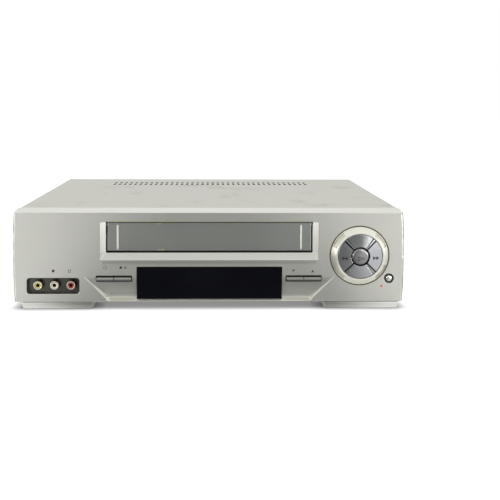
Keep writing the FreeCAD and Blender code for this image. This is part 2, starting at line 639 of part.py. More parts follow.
def fix_radius(sketch, geometry, radius):
    """Tie a radius in a sketch to a formula."""
    index = sketch.addConstraint(Sketcher.Constraint("Radius", geometry, abs(number(radius))))
    sketch.setExpression(f"Constraints[{index}]", expression(radius))


def draw_circle(sketch, x, y, radius):
    """A tied circle."""
    centre = Vector(number(x), number(y), 0)
    geometry = sketch.addGeometry(Part.Circle(centre, AXES["Z"], number(radius)))
    fix_point(sketch, geometry, CENTRE, x, y)
    fix_radius(sketch, geometry, radius)


def draw_outline(sketch, points):
    """A tied closed outline. A third entry in a point is the radius of an outward arc."""
    spots = [Vector(number(point[0]), number(point[1]), 0) for point in points]
    ends = []
    for index, point in enumerate(points):
        here = spots[index]
        there = spots[(index + 1) % len(spots)]
        if len(point) == 2:
            geometry = sketch.addGeometry(Part.LineSegment(here, there))
            ends.append((geometry, START, END))
            continue
        chord = there - here
        radius = number(point[2])
        rise = radius - math.sqrt(radius * radius - chord.Length ** 2 / 4)
        outward = Vector(chord.y, -chord.x, 0).normalize()
        crown = (here + there) * 0.5 + outward * rise
        geometry = sketch.addGeometry(Part.Arc(here, crown, there))
        forward = sketch.getPoint(geometry, START).distanceToPoint(here) < TOUCH
        ends.append((geometry, START, END) if forward else (geometry, END, START))
        fix_radius(sketch, geometry, point[2])
    for index, (geometry, first, last) in enumerate(ends):
        following = ends[(index + 1) % len(ends)]
        sketch.addConstraint(
            Sketcher.Constraint("Coincident", geometry, last, following[0], following[1]))
        fix_point(sketch, geometry, first, points[index][0], points[index][1])


class Moulding:
    """A body that is built from sketches on its own planes."""

    def __init__(self, label):
        self.body = doc.addObject("PartDesign::Body", label)

    def sketch(self, plane, at, loops, turned=None):
        """A sketch at a distance along the plane's axis, turned about one of its own axes."""
        item = self.body.newObject("Sketcher::SketchObject", "Outline")
        role = PLANES[plane]
        support = [part for part in self.body.Origin.OriginFeatures if part.Role == role][0]
        item.AttachmentSupport = [(support, "")]
        item.MapMode = "FlatFace"
        if turned:
            axis, angle = turned
            size = abs(number(angle))
            item.AttachmentOffset = FreeCAD.Placement(Vector(), Rotation(AXES[axis], size))
            bind(item, AttachmentOffset__Rotation__Angle=angle)
        sign = "-" if plane == "front" else ""
        bind(item, AttachmentOffset__Base__z=f"{sign}({at})")
        for loop in loops:
            if loop[0] == "circle":
                draw_circle(item, *loop[1:])
            else:
                draw_outline(item, loop)
        return item

    def feature(self, kind, profile, **formulas):
        """A feature of the body made from a profile."""
        item = self.body.newObject(f"PartDesign::{kind}", kind)
        item.Profile = profile
        bind(item, **formulas)
        profile.Visibility = False
        return item

    def add(self, plane, low, high, *loops):
        """Material between two distances along the plane's axis."""
        at = high if plane == "front" else low
        profile = self.sketch(plane, at, loops)
        return self.feature("Pad", profile, Length=f"({high}) - ({low})")

    def remove(self, plane, low, high, *loops, taper=None):
        """A pocket between two distances along the plane's axis."""
        at = low if plane == "front" else high
        profile = self.sketch(plane, at, loops)
        item = self.feature("Pocket", profile, Length=f"({high}) - ({low})")
        if taper:
            bind(item, TaperAngle=taper)
        return item

    def turn(self, plane, *loops, angle=str(FULL_TURN), kind="Revolution", turned=None, middle=False):
        """Material, or a groove, turned about the sketch's upright axis."""
        profile = self.sketch(plane, "0", loops, turned)
        item = self.feature(kind, profile, Angle=angle)
        item.ReferenceAxis = (profile, ["V_Axis"])
        item.Midplane = middle
        return item

    def row(self, feature, axis, step, count):
        """A feature repeated along an axis of the body."""
        role = f"{axis}_Axis"
        line = [part for part in self.body.Origin.OriginFeatures if part.Role == role][0]
        item = self.body.newObject("PartDesign::LinearPattern", "Row")
        item.Originals = [feature]
        item.Direction = (line, [""])
        bind(item, Length=f"({step}) * (({count}) - 1)", Occurrences=count)
        self.body.Tip = item
        return item

    def circle(self, feature, axis, count):
        """A feature repeated round an axis of the body."""
        role = f"{axis}_Axis"
        line = [part for part in self.body.Origin.OriginFeatures if part.Role == role][0]
        item = self.body.newObject("PartDesign::PolarPattern", "Ring")
        item.Originals = [feature]
        item.Axis = (line, [""])
        item.Angle = FULL_TURN
        bind(item, Occurrences=count)
        self.body.Tip = item
        return item

    def dress(self, kind, test, **formulas):
        """A fillet or chamfer on the edges that pass a test."""
        doc.recompute()
        tip = self.body.Tip
        names = [f"Edge{index}" for index, edge in enumerate(tip.Shape.Edges, 1) if test(edge)]
        item = self.body.newObject(f"PartDesign::{kind}", kind)
        item.Base = (tip, names)
        bind(item, **formulas)
        return item


def runs_along(edge, axis):
    """True for a straight edge parallel to an axis."""
    if not isinstance(edge.Curve, Part.Line):
        return False
    return abs(edge.Curve.Direction.dot(AXES[axis])) > 1 - TOUCH


def sits_at(edge, **formulas):
    """True if the middle of an edge has the given coordinates."""
    spot = edge.CenterOfMass
    return all(abs(getattr(spot, axis) - number(formula)) < NEAR
               for axis, formula in formulas.items())


def pair_keys():
    """Name, side and place of the four small keys, from the left to the right."""
    shift = "(pair_width / 4 + pair_split / 4)"
    return [
        ("standby_key", -1, f"-pair_left - {shift}"),
        ("stop_eject_key", 1, f"-pair_left + {shift}"),
        ("channel_down_key", -1, f"pair_right - {shift}"),
        ("channel_up_key", 1, f"pair_right + {shift}"),
    ]


def ring_keys():
    """Name, direction and half arc of the four keys round the play key."""
    wide = "split_angle"
    narrow = "90 - split_angle"
    return [
        ("forward_key", 0, wide),
        ("upper_key", 90, narrow),
        ("rewind_key", 180, wide),
        ("lower_key", 270, narrow),
    ]


def switch_spots():
    """Places of the key switches on the front board."""
    spots = [(x, "pair_mid") for _, _, x in pair_keys()]
    for _, turn, _ in ring_keys():
        reach = f"stem_radius * cos({turn})"
        lift = f"stem_radius * sin({turn})"
        spots.append((f"dial_x + {reach}", f"dial_z + {lift}"))
    spots.append(("dial_x", "dial_z"))
    spots.append(("record_x", "record_z"))
    return spots


def board_bosses():
    """Places of the bosses that carry the front board."""
    low = "board_low + boss_inset"
    return [
        ("-board_half + boss_inset", "board_mid - boss_inset"),
        ("-board_step", "board_mid - boss_inset"),
        ("board_step + boss_inset", low),
        ("board_half - boss_inset", low),
        ("board_step + boss_inset", "board_high - boss_inset"),
        ("board_half - boss_inset", "board_high - boss_inset"),
    ]


def make_fascia():
    """Front moulding: shell, sloping frame, sloping panel, seats and openings."""
    part = Moulding("fascia")
    outline = [
        ("-edge_half", "foot_height"),
        ("edge_half", "foot_height", "side_radius"),
        ("edge_half", "case_height"),
        ("-edge_half", "case_height", "side_radius"),
    ]
    part.add("front", "0", "rim_depth", outline)
    part.dress("Fillet", lambda edge: isinstance(edge.Curve, Part.Circle) and sits_at(edge, y="0"),
               Radius="edge_round")
    part.add("front", "rim_depth", "lip_end",
             rectangle("-lip_half", "lip_half", "floor_top", "lip_top"))
    part.dress("Fillet", lambda edge: runs_along(edge, "Y") and sits_at(edge, z="lip_top"),
               Radius="cover_round")
    inner = "edge_half - rim_wall"
    part.remove("front", "skin", "joggle_depth", rectangle(
        f"-({inner})", inner, "hollow_low", "case_height - bevel_drop - crown_wall"))
    inner = "lip_half - lip_wall"
    part.remove("front", "joggle_depth", "lip_end",
                rectangle(f"-({inner})", inner, "hollow_low", "lip_top - lip_wall"))
    part.remove("side", "-half_width", "half_width", [
        ("0", "case_height - bevel_drop"),
        ("bevel_depth", "case_height"),
        ("0", "case_height"),
    ])
    side = "panel_top_half + backing_margin"
    part.add("front", "skin", "backing_depth",
             rectangle(f"-({side})", side, "hollow_low", "panel_high + backing_margin"))
    side = "mouth_half + frame_margin"
    part.add("front", "skin", "frame_depth",
             rectangle(f"-({side})", side, "mouth_low - frame_margin", "mouth_high + backing_margin"))
    part.add("front", "skin", "pocket_depth + pocket_wall", rectangle(
        "-pocket_left - pocket_wall", "-pocket_right + pocket_wall",
        "pocket_low - pocket_wall", "pocket_high + pocket_wall"))
    for x, z in board_bosses():
        part.add("front", "skin", "board_front", square(x, z, "boss_half"))
    sloping_panel(part)
    cassette_mouth(part)
    face_openings(part)
    keep("fascia", part.body, y="face_y")


def sloping_panel(part):
    """The panel under the mouth that leans back to its foot, above a bevelled sill."""
    foot = "panel_top_half - panel_slope * panel_high"
    part.remove("front", "0", "panel_depth + sill_set_back", [
        (f"-({foot})", "0"),
        (foot, "0"),
        ("panel_top_half", "panel_high"),
        ("-panel_top_half", "panel_high"),
    ], taper="-panel_taper")
    part.add("side", "-panel_top_half", "panel_top_half", [
        ("0", "panel_high"),
        ("panel_depth", "panel_low"),
        ("sill_set_back", "foot_height + sill_high"),
        ("sill_set_back", "foot_height"),
        ("backing_depth", "foot_height"),
        ("backing_depth", "panel_high"),
    ])


def cassette_mouth(part):
    """Mouth with a sloping frame on three sides and the bores for the flap's pins."""
    slope = part.body.newObject("PartDesign::SubtractiveWedge", "Bezel")
    bind(slope,
         Xmin="-mouth_half - bezel_side", Xmax="mouth_half + bezel_side",
         Zmin="mouth_low - bezel_low", Zmax="mouth_high",
         Ymin="0", Ymax="bezel_depth",
         X2min="-mouth_half", X2max="mouth_half", Z2min="mouth_low", Z2max="mouth_high")
    part.remove("front", "0", "frame_depth",
                rectangle("-mouth_half", "mouth_half", "mouth_low", "mouth_high"))
    reach = "mouth_half + flap_pin_grip"
    part.remove("side", f"-({reach})", reach,
                round_hole("flap_axis_y", "flap_axis_z", "flap_pin_radius + running_gap"))


def face_openings(part):
    """Openings and seats for the window, the keys, the keypad and the sockets."""
    side = "window_half + window_gap"
    part.remove("front", "0", "backing_depth",
                rectangle(f"-({side})", side, "window_low - window_gap", "window_high + window_gap"))
    for middle in ("-pair_left", "pair_right"):
        part.remove("front", "0", "backing_depth", rectangle(
            f"{middle} - pair_width / 2 - pair_gap", f"{middle} + pair_width / 2 + pair_gap",
            "pair_low - pair_gap", "pair_high + pair_gap"))
    part.remove("front", "0", "dial_socket_depth",
                round_hole("dial_x", "dial_z", "dial_socket_radius"))
    part.remove("front", "0", "skin",
                round_hole("dial_x", "dial_z", "dial_bore + dial_sleeve + dial_sleeve_gap"))
    part.remove("front", "0", "record_well_depth",
                round_hole("record_x", "record_z", "record_well_radius"))
    part.remove("front", "0", "skin",
                round_hole("record_x", "record_z", "record_radius + play_gap"))
    part.remove("front", "0", "pocket_depth",
                rectangle("-pocket_left", "-pocket_right", "pocket_low", "pocket_high"))
    corners = ("-pocket_left", "-pocket_right")
    levels = ("pocket_low", "pocket_high")
    part.dress("Fillet", lambda edge: runs_along(edge, "Y") and any(
        sits_at(edge, x=x, z=z) for x in corners for z in levels), Radius="pocket_round")
    for x in jack_places():
        part.remove("front", "pocket_depth", "pocket_depth + pocket_wall",
                    round_hole(x, "jack_z", "jack_radius + barrel_step + play_gap"))


def jack_places():
    """Places of the three front sockets, from the left to the right."""
    return [f"-jack_x + ({step}) * jack_pitch" for step in (-1, 0, 1)]


def make_flap():
    """Cassette flap about its hinge axis: plate, face ribs, stiffening rib and pins."""
    part = Moulding("cassette_flap")
    low = "flap_axis_drop - flap_height"
    front = "-flap_sheet / 2"
    part.add("front", front, "flap_sheet / 2",
             rectangle("-flap_half", "flap_half", low, "flap_axis_drop"))
    for sign in ("-", ""):
        middle = f"{sign}flap_rib_place"
        part.add("front", f"{front} - flap_rib_height", front, rectangle(
            f"{middle} - flap_rib_width / 2", f"{middle} + flap_rib_width / 2",
            f"{low} + flap_rib_margin", "flap_axis_drop - flap_rib_margin"))
    part.add("front", "flap_sheet / 2", "flap_sheet / 2 + flap_back_rib", rectangle(
        "-flap_rib_place", "flap_rib_place",
        f"{low} + flap_rib_margin", f"{low} + flap_rib_margin + flap_back_sheet"))
    reach = "mouth_half + flap_pin_grip - play_gap"
    part.add("side", f"-({reach})", reach, round_hole("0", "0", "flap_pin_radius"))
    keep("cassette_flap", part.body, y="face_y + flap_axis_y", z="flap_axis_z")


def make_window():
    """Display window: a tray of dark glazing held by tabs behind the panel."""
    part = Moulding("display_window")
    part.add("front", "-window_proud", "backing_depth + window_tab_sheet",
             rectangle("-window_half", "window_half", "window_low", "window_high"))
    part.dress("Chamfer", lambda edge: sits_at(edge, y="-window_proud"), Size="window_edge")
    side = "window_half + window_tab"
    part.add("front", "backing_depth", "backing_depth + window_tab_sheet", rectangle(
        f"-({side})", side, "window_low + window_tab_end", "window_high - window_tab_end"))
    part.remove("front", "window_wall", "backing_depth + window_tab_sheet", rectangle(
        "window_wall - window_half", "window_half - window_wall",
        "window_low + window_wall", "window_high - window_wall"))
    keep("display_window", part.body, y="face_y")


def make_display_tube():
    """Display tube behind the window, on its holder."""
    mid = "(window_low + window_high) / 2"
    glass = block(("-tube_width / 2", "tube_width / 2"), ("tube_front", "tube_front + tube_glass"),
                  ("-tube_height / 2", "tube_height / 2"))
    side = "tube_width / 2 - tube_base_margin"
    rise = "tube_height / 2 - tube_base_margin"
    base = block((f"-({side})", side), ("tube_front + tube_glass", "board_front"), (f"-({rise})", rise))
    keep("display_tube", join(glass, base), y="face_y", z=mid)


def make_front_board():
    """Circuit board behind the fascia and the switches that the keys press."""
    part = Moulding("front_board")
    part.add("front", "board_front", "board_front + board_sheet", [
        ("-board_half", "board_low"),
        ("board_half", "board_low"),
        ("board_half", "board_high"),
        ("board_step", "board_high"),
        ("board_step", "board_mid"),
        ("-board_half", "board_mid"),
    ])
    keep("front_board", part.body, y="face_y")
    solids = []
    for x, z in switch_spots():
        for half, ends in (("switch_size / 2", ("switch_front", "board_front")),
                           ("plunger_half", ("plunger_front", "switch_front"))):
            solids.append(block((f"{x} - {half}", f"{x} + {half}"), ends,
                                (f"{z} - {half}", f"{z} + {half}")))
    keep("key_switches", join(*solids), y="face_y")


def make_pair_keys():
    """The four small keys in two pairs, each with a nose and a stop flange."""
    half = "(pair_width - pair_split) / 4"
    for label, side, x in pair_keys():
        part = Moulding(label)
        part.add("side", f"-{half}", half, [
            ("-pair_nose", "pair_nose_high"),
            ("pair_nose_back - pair_nose", "0"),
            ("backing_depth", "0"),
            ("backing_depth", "pair_high - pair_low"),
            ("pair_top_back", "pair_high - pair_low"),
        ])
        lap = "pair_gap + flange_lap"
        ends = (f"-{half} - {lap}", half) if side < 0 else (f"-{half}", f"{half} + {lap}")
        part.add("front", "backing_depth", "backing_depth + flange_sheet",
                 rectangle(ends[0], ends[1], f"-({lap})", f"pair_high - pair_low + {lap}"))
        keep(label, part.body, x, "face_y", "pair_low")


def make_dial_ring():
    """Conical trim ring with four recesses, on a sleeve with the web for the round keys."""
    part = Moulding("dial_ring")
    rim = "dial_bore + dial_rim"
    sleeve = "dial_bore + dial_sleeve"
    part.turn("top", [
        ("dial_bore", "-dial_height"),
        (rim, "-dial_height"),
        ("dial_radius", "-dial_edge"),
        ("dial_radius", "dial_socket_depth"),
        (sleeve, "dial_socket_depth"),
        (sleeve, "web_back"),
        ("play_radius + play_gap_ring", "web_back"),
        ("play_radius + play_gap_ring", "web_front"),
        ("dial_bore", "web_front"),
    ])
    half_wide = "(stem_wide / 2 + play_gap)"
    half_deep = "(stem_deep / 2 + play_gap)"
    slot = part.remove("front", "web_front", "web_back", rectangle(
        f"stem_radius - {half_deep}", f"stem_radius + {half_deep}", f"-{half_wide}", half_wide))
    part.circle(slot, "Y", str(len(ring_keys())))
    floor = "-dial_height + recess_depth + ring_slope * ({} - dial_bore - dial_rim)"
    for middle in ("-recess_middle", "recess_middle - 180", "180 - recess_middle", "recess_middle"):
        part.turn("top", [
            ("recess_inner", "-2 * dial_height"),
            ("recess_outer", "-2 * dial_height"),
            ("recess_outer", floor.format("recess_outer")),
            ("recess_inner", floor.format("recess_inner")),
        ], angle="recess_span", kind="Groove", turned=("Y", middle), middle=True)
    keep("dial_ring", part.body, "dial_x", "face_y", "dial_z")


def make_ring_keys():
    """The four keys round the play key: a sector, a stem and two barbs behind the web."""
    for label, turn, half_arc in ring_keys():
        part = Moulding(label)
        part.turn("top", [
            ("sector_inner", "-sector_inner_proud"),
            ("sector_outer", "-sector_outer_proud"),
            ("sector_outer", "sector_back"),
            ("sector_inner", "sector_back"),
        ], angle=f"2 * ({half_arc} - sector_trim)", turned=("Y", str(-turn)), middle=True)
        along, across = ("z", "x") if turn % 180 == 0 else ("x", "z")
        centre = {"x": f"stem_radius * cos({turn})", "z": f"stem_radius * sin({turn})"}

        def span(length, axis):
            return f"{centre[axis]} - ({length}) / 2", f"{centre[axis]} + ({length}) / 2"

        for wide, low, high in (("stem_wide", "sector_back", "stem_end"),
                                ("stem_wide + 2 * barb_lap", "web_back", "ring_key_end")):
            ends = {along: span(wide, along), across: span("stem_deep", across)}
            part.add("front", low, high, rectangle(*ends["x"], *ends["z"]))
        keep(label, part.body, "dial_x", "face_y", "dial_z")


def make_round_keys():
    """The play key in the middle of the keypad and the small record key."""
    part = Moulding("play_key")
    side = "play_radius + play_gap_ring + flange_lap"
    part.turn("top", [
        ("0", "-front_reach"),
        ("play_radius - play_bevel", "-front_reach"),
        ("play_radius", "play_bevel - front_reach"),
        ("play_radius", "web_back"),
        (side, "web_back"),
        (side, "ring_key_end"),
        ("play_stem_radius", "ring_key_end"),
        ("play_stem_radius", "stem_end"),
        ("0", "stem_end"),
    ])
    keep("play_key", part.body, "dial_x", "face_y", "dial_z")
    part = Moulding("record_key")
    side = "record_radius + play_gap + flange_lap"
    part.turn("top", [
        ("0", "-record_proud"),
        ("record_radius - record_bevel", "-record_proud"),
        ("record_radius", "record_bevel - record_proud"),
        ("record_radius", "skin"),
        (side, "skin"),
        (side, "skin + flange_sheet"),
        ("record_stem_radius", "skin + flange_sheet"),
        ("record_stem_radius", "stem_end"),
        ("0", "stem_end"),
    ])
    keep("record_key", part.body, "record_x", "face_y", "record_z")


def make_front_jacks():
    """Three phono sockets in the pocket: shells with housings, and coloured cores."""
    shells = []
    floor = "pocket_depth + pocket_wall"
    tip = "pocket_depth - jack_reach"
    for x in jack_places():
        half = "jack_body / 2"
        barrel = rod("Y", "jack_radius", tip, f"pocket_depth - ({tip})", (x, "jack_z"))
        root = rod("Y", "jack_radius + barrel_step", "pocket_depth", "pocket_wall", (x, "jack_z"))
        house = block((f"{x} - {half}", f"{x} + {half}"), (floor, "board_front"),
                      (f"jack_z - {half}", f"jack_z + {half}"))
        bore = rod("Y", "jack_bore", tip, "core_set_back + core_length", (x, "jack_z"))
        shells.append(cut(join(barrel, root, house), bore))
    keep("front_jack_shells", join(*shells), y="face_y")
    labels = ("video_jack_core", "left_jack_core", "right_jack_core")
    for label, x in zip(labels, jack_places()):
        part = Moulding(label)
        part.turn("top", [
            ("jack_hole", "0"),
            ("jack_bore", "0"),
            ("jack_bore", "core_length"),
            ("0", "core_length"),
            ("0", "core_length - core_set_back"),
            ("jack_hole", "core_length - core_set_back"),
        ])
        keep(label, part.body, x, f"face_y + {tip} + core_set_back", "jack_z")


def make_cover():
    """Folded steel cover with two rows of slots in the top and a row in each side."""
    part = Moulding("top_cover")
    part.add("front", "cover_front", "cover_rear",
             rectangle("-cover_half", "cover_half", "cover_low", "cover_top"))
    part.dress("Fillet", lambda edge: runs_along(edge, "Y") and sits_at(edge, z="cover_top"),
               Radius="cover_round")
    doc.recompute()
    tip = part.body.Tip
    ends = [f"Face{index}" for index, face in enumerate(tip.Shape.Faces, 1)
            if abs(face.normalAt(0, 0).y) > 1 - TOUCH or face.normalAt(0, 0).z < TOUCH - 1]
    shell = part.body.newObject("PartDesign::Thickness", "Sheet")
    shell.Base = (tip, ends)
    shell.Reversed = True
    bind(shell, Value="sheet_steel")
    first = "-vent_pitch * (vent_count - 1) / 2"
    slots = []
    for row in ("vent_row_far", "vent_row_far + vent_row_step"):
        middle = f"cover_rear - ({row})"
        slots.append(rectangle(f"{first} - vent_width / 2", f"{first} + vent_width / 2",
                               f"{middle} - vent_length / 2", f"{middle} + vent_length / 2"))
    row = part.remove("top", "cover_top - sheet_steel", "cover_top", *slots)
    part.row(row, "X", "vent_pitch", "vent_count")
    last = "cover_rear - side_vent_first - vent_pitch * (side_vent_count - 1)"
    row = part.remove("side", "-cover_half", "cover_half", rectangle(
        last, f"{last} + vent_width", "side_vent_low", "side_vent_high"))
    part.row(row, "Y", "vent_pitch", "side_vent_count")
    holes = [round_hole(y, "screw_z", "screw_radius + play_gap") for y in screw_places()]
    part.remove("side", "-cover_half", "cover_half", *holes)
    keep("top_cover", part.body)


def screw_places():
    """Distances of the cover screws along the case."""
    return ["face_y + screw_front", "cover_rear - screw_rear"]


def make_cover_screws():
    """Four screws that hold the cover to the chassis walls."""
    screws = []
    for y in screw_places():
        head = rod("X", "screw_head_radius", "cover_half", "screw_head_height", (y, "screw_z"))
        shank = rod("X", "screw_radius", "cover_half - screw_length", "screw_length", (y, "screw_z"))
        screws.append(join(head, shank))
    screws += [mirrored(screw) for screw in screws]
    keep("cover_screws", join(*screws))


def deck_pillars():
    """Places of the pillars under the corners of the deck plate."""
    return [(f"{side}(deck_half - deck_corner)", y) for side in ("-", "")
            for y in ("deck_front_y + deck_corner", "deck_rear_y - deck_corner")]


def board_standoffs():
    """Places of the stand-offs under the main board."""
    return [(f"{side}(main_half - boss_inset)", y) for side in ("-", "")
            for y in ("face_y + main_front + boss_inset", "rear_y - main_rear - boss_inset")]


def make_chassis():
    """Steel tray with side walls, pillars for the deck and stand-offs for the board."""
    part = Moulding("chassis")
    part.add("top", "foot_height", "floor_top", rectangle(
        "-chassis_half", "chassis_half", "face_y + rim_depth + seam_gap", "rear_y"))
    for inner, outer in (("-chassis_half", "floor_sheet - chassis_half"),
                         ("chassis_half - floor_sheet", "chassis_half")):
        part.add("top", "floor_top", "chassis_wall_high",
                 rectangle(inner, outer, "face_y + chassis_start", "rear_y - floor_sheet"))
    part.add("top", "floor_top", "deck_low", *[square(x, y, "pillar_half") for x, y in deck_pillars()])
    part.add("top", "floor_top", "main_low",
             *[square(x, y, "standoff_half") for x, y in board_standoffs()])
    holes = [round_hole(y, "screw_z", "screw_radius") for y in screw_places()]
    part.remove("side", "-chassis_half", "chassis_half", *holes)
    keep("chassis", part.body)


def make_feet():
    """Two long front feet that also close the front, and two round rear feet."""
    for label, side, inner in (("front_foot_left", -1, "foot_left_inner"),
                               ("front_foot_right", 1, "foot_right_inner")):
        part = Moulding(label)
        length = f"(foot_outer - {inner})"
        sign = "-" if side < 0 else ""
        end = f"{sign}{length}"
        toe = f"{sign}({length} - foot_taper)"
        top = "foot_height - foot_bow"
        corners = [("0", "0"), (toe, "0"), (end, top), ("0", top)]
        if side < 0:
            corners.reverse()
        part.add("front", "foot_front", "foot_depth", corners)
        ends = ("0", toe) if side > 0 else (toe, "0")
        part.add("front", "foot_seat", "foot_depth", rectangle(*ends, top, "foot_height"))
        part.dress("Fillet", lambda edge: sits_at(edge, y="foot_front"), Radius="foot_round")
        keep(label, part.body, f"{sign}{inner}", "face_y")
    feet = []
    for sign in ("-", ""):
        foot = doc.addObject("Part::Cone", "Foot")
        bind(foot, Radius1="rear_foot_radius - rear_foot_draft", Radius2="rear_foot_radius",
             Height="foot_height")
        feet.append(move(foot, f"{sign}rear_foot_x", "rear_y - rear_foot_y"))
    keep("rear_feet", join(*feet))


def wide_socket_outline(grow):
    """Outline of a wide socket with one slanted corner, widened on every side."""
    side = f"(scart_width / 2 + ({grow}))"
    rise = f"(scart_height / 2 + ({grow}))"
    return [
        (f"-{side}", f"-{rise}"),
        (f"{side} - scart_corner", f"-{rise}"),
        (side, f"scart_corner - {rise}"),
        (side, rise),
        (f"-{side}", rise),
    ]


def moved_outline(outline, x, z):
    """An outline moved within its plane."""
    return [(f"{point[0]} + ({x})", f"{point[1]} + ({z})") for point in outline]


def socket_places():
    """Places of the two wide sockets."""
    return ["-scart_x", "scart_pitch - scart_x"]


def make_rear_panel():
    """Steel rear panel with the openings for every socket."""
    part = Moulding("rear_panel")
    part.add("front", "0", "floor_sheet",
             rectangle("-chassis_half", "chassis_half", "floor_top", "panel_top"))
    part.dress("Fillet", lambda edge: runs_along(edge, "Y") and sits_at(edge, z="panel_top"),
               Radius="cover_round")
    for x in socket_places():
        part.remove("front", "0", "floor_sheet",
                    moved_outline(wide_socket_outline("play_gap"), x, "scart_z"))
    for step in ("0", "aerial_pitch"):
        part.remove("front", "0", "floor_sheet", round_hole(
            "tuner_x", f"main_top + aerial_low + {step}", "aerial_radius + barrel_step + play_gap"))
    for x, z in rear_jack_places():
        part.remove("front", "0", "floor_sheet",
                    round_hole(x, z, "jack_radius + barrel_step + play_gap"))
    side = "inlet_width / 2 + play_gap"
    rise = "inlet_height / 2 + play_gap"
    part.remove("front", "0", "floor_sheet", rectangle(
        f"-inlet_x - ({side})", f"-inlet_x + {side}", f"inlet_z - ({rise})", f"inlet_z + {rise}"))
    keep("rear_panel", part.body, y="rear_y - floor_sheet")


def make_wide_sockets():
    """Wide audio and video sockets with a groove and two rows of contact slots."""
    for label, x in zip(("wide_socket_left", "wide_socket_right"), socket_places()):
        part = Moulding(label)
        back = "-floor_sheet - scart_body_depth"
        part.add("front", back, "scart_proud", wide_socket_outline("0"))
        part.add("front", back, "-floor_sheet", wide_socket_outline("scart_flange"))
        floor = "scart_proud - scart_groove_depth"
        part.remove("front", floor, "scart_proud", wide_socket_outline("-scart_groove_wall"))
        part.add("front", floor, "scart_proud", wide_socket_outline("-scart_groove_wall - scart_groove"))
        first = "-contact_pitch * (contact_count - 1) / 2"
        slots = [rectangle(f"{first} - contact_width / 2", f"{first} + contact_width / 2",
                           f"{row} - contact_height / 2", f"{row} + contact_height / 2")
                 for row in ("-contact_row / 2", "contact_row / 2")]
        slot = part.remove("front", "scart_proud - contact_depth", "scart_proud", *slots)
        part.row(slot, "X", "contact_pitch", "contact_count")
        keep(label, part.body, x, "rear_y", "scart_z")


def make_tuner():
    """Screened aerial unit with its two coaxial sockets."""
    half = "tuner_width / 2"
    box = block((f"-{half}", half), ("-floor_sheet - tuner_depth", "-floor_sheet"), ("0", "tuner_height"))
    inset = "tuner_lid"
    lid = block((f"{inset} - {half}", f"{half} - {inset}"),
                ("tuner_lid - floor_sheet - tuner_depth", "-tuner_lid - floor_sheet"),
                ("tuner_height", "tuner_height + tuner_lid"))
    keep("aerial_unit", join(box, lid), "tuner_x", "rear_y", "main_top")
    sockets = []
    for step in ("0", "aerial_pitch"):
        spot = ("0", f"aerial_low + {step}")
        root = rod("Y", "aerial_radius + barrel_step", "-floor_sheet", "floor_sheet", spot)
        shell = rod("Y", "aerial_radius", "0", "rear_reach", spot)
        bore = rod("Y", "aerial_bore", "rear_reach - aerial_bore_depth", "aerial_bore_depth", spot)
        pin = rod("Y", "aerial_pin_radius", "0", "rear_reach", spot)
        sockets.append(join(cut(join(root, shell), bore), pin))
    keep("aerial_sockets", join(*sockets), "tuner_x", "rear_y", "main_top")


def rear_jack_places():
    """Places of the rear phono sockets: two beside each other, twice."""
    return [(f"-rear_jack_x - {x} * jack_pitch", f"main_top + rear_jack_z + {z} * jack_pitch")
            for x in (0, 1) for z in (0, 1)]


def make_rear_jacks():
    """Four phono sockets and the moulded holder that carries them."""
    spots = rear_jack_places()
    side = "(jack_radius + rear_jack_plate)"
    holder = block((f"{spots[-1][0]} - {side}", f"{spots[0][0]} + {side}"),
                   ("-floor_sheet - jack_body", "-floor_sheet"),
                   ("main_top", f"{spots[1][1]} + {side}"))
    keep("rear_jack_holder", holder, f"{spots[-1][0]} - {side}", "rear_y - floor_sheet - jack_body",
         "main_top")
    barrels = []
    for spot in spots:
        root = rod("Y", "jack_radius + barrel_step", "-floor_sheet", "floor_sheet", spot)
        barrel = rod("Y", "jack_radius", "0", "jack_reach", spot)
        bore = rod("Y", "jack_hole", "jack_reach - core_length", "core_length", spot)
        barrels.append(cut(join(root, barrel), bore))
    keep("rear_jacks", join(*barrels), y="rear_y")


def make_inlet():
    """Mains inlet: a well with two pins, open to the back."""
    part = Moulding("mains_inlet")
    side = "inlet_width / 2"
    rise = "inlet_height / 2"
    part.add("front", "-inlet_depth", "0", rectangle(f"-{side}", side, f"-{rise}", rise))
    lap = "inlet_flange"
    part.add("front", "-inlet_depth", "-floor_sheet",
             rectangle(f"-{side} - {lap}", f"{side} + {lap}", f"-{rise} - {lap}", f"{rise} + {lap}"))
    part.remove("front", "-inlet_well", "0", rectangle(
        f"inlet_wall - {side}", f"{side} - inlet_wall", f"inlet_wall - {rise}", f"{rise} - inlet_wall"))
    pins = [round_hole(f"{sign}inlet_pin_pitch / 2", "0", "inlet_pin_radius") for sign in ("-", "")]
    part.add("front", "-inlet_well", "-inlet_wall", *pins)
    keep("mains_inlet", part.body, "-inlet_x", "rear_y", "inlet_z")


def make_main_board():
    """Main circuit board with clearance holes for the pillars of the deck."""
    part = Moulding("main_board")
    part.add("top", "main_low", "main_top", rectangle(
        "-main_half", "main_half", "face_y + main_front", "rear_y - main_rear"))
    part.remove("top", "main_low", "main_top",
                *[square(x, y, "pillar_half + play_gap") for x, y in deck_pillars()])
    keep("main_board", part.body)


def upright(radius, height, x, y):
    """An upright can on the main board."""
    return rod("Z", radius, "main_top", height, (x, y))


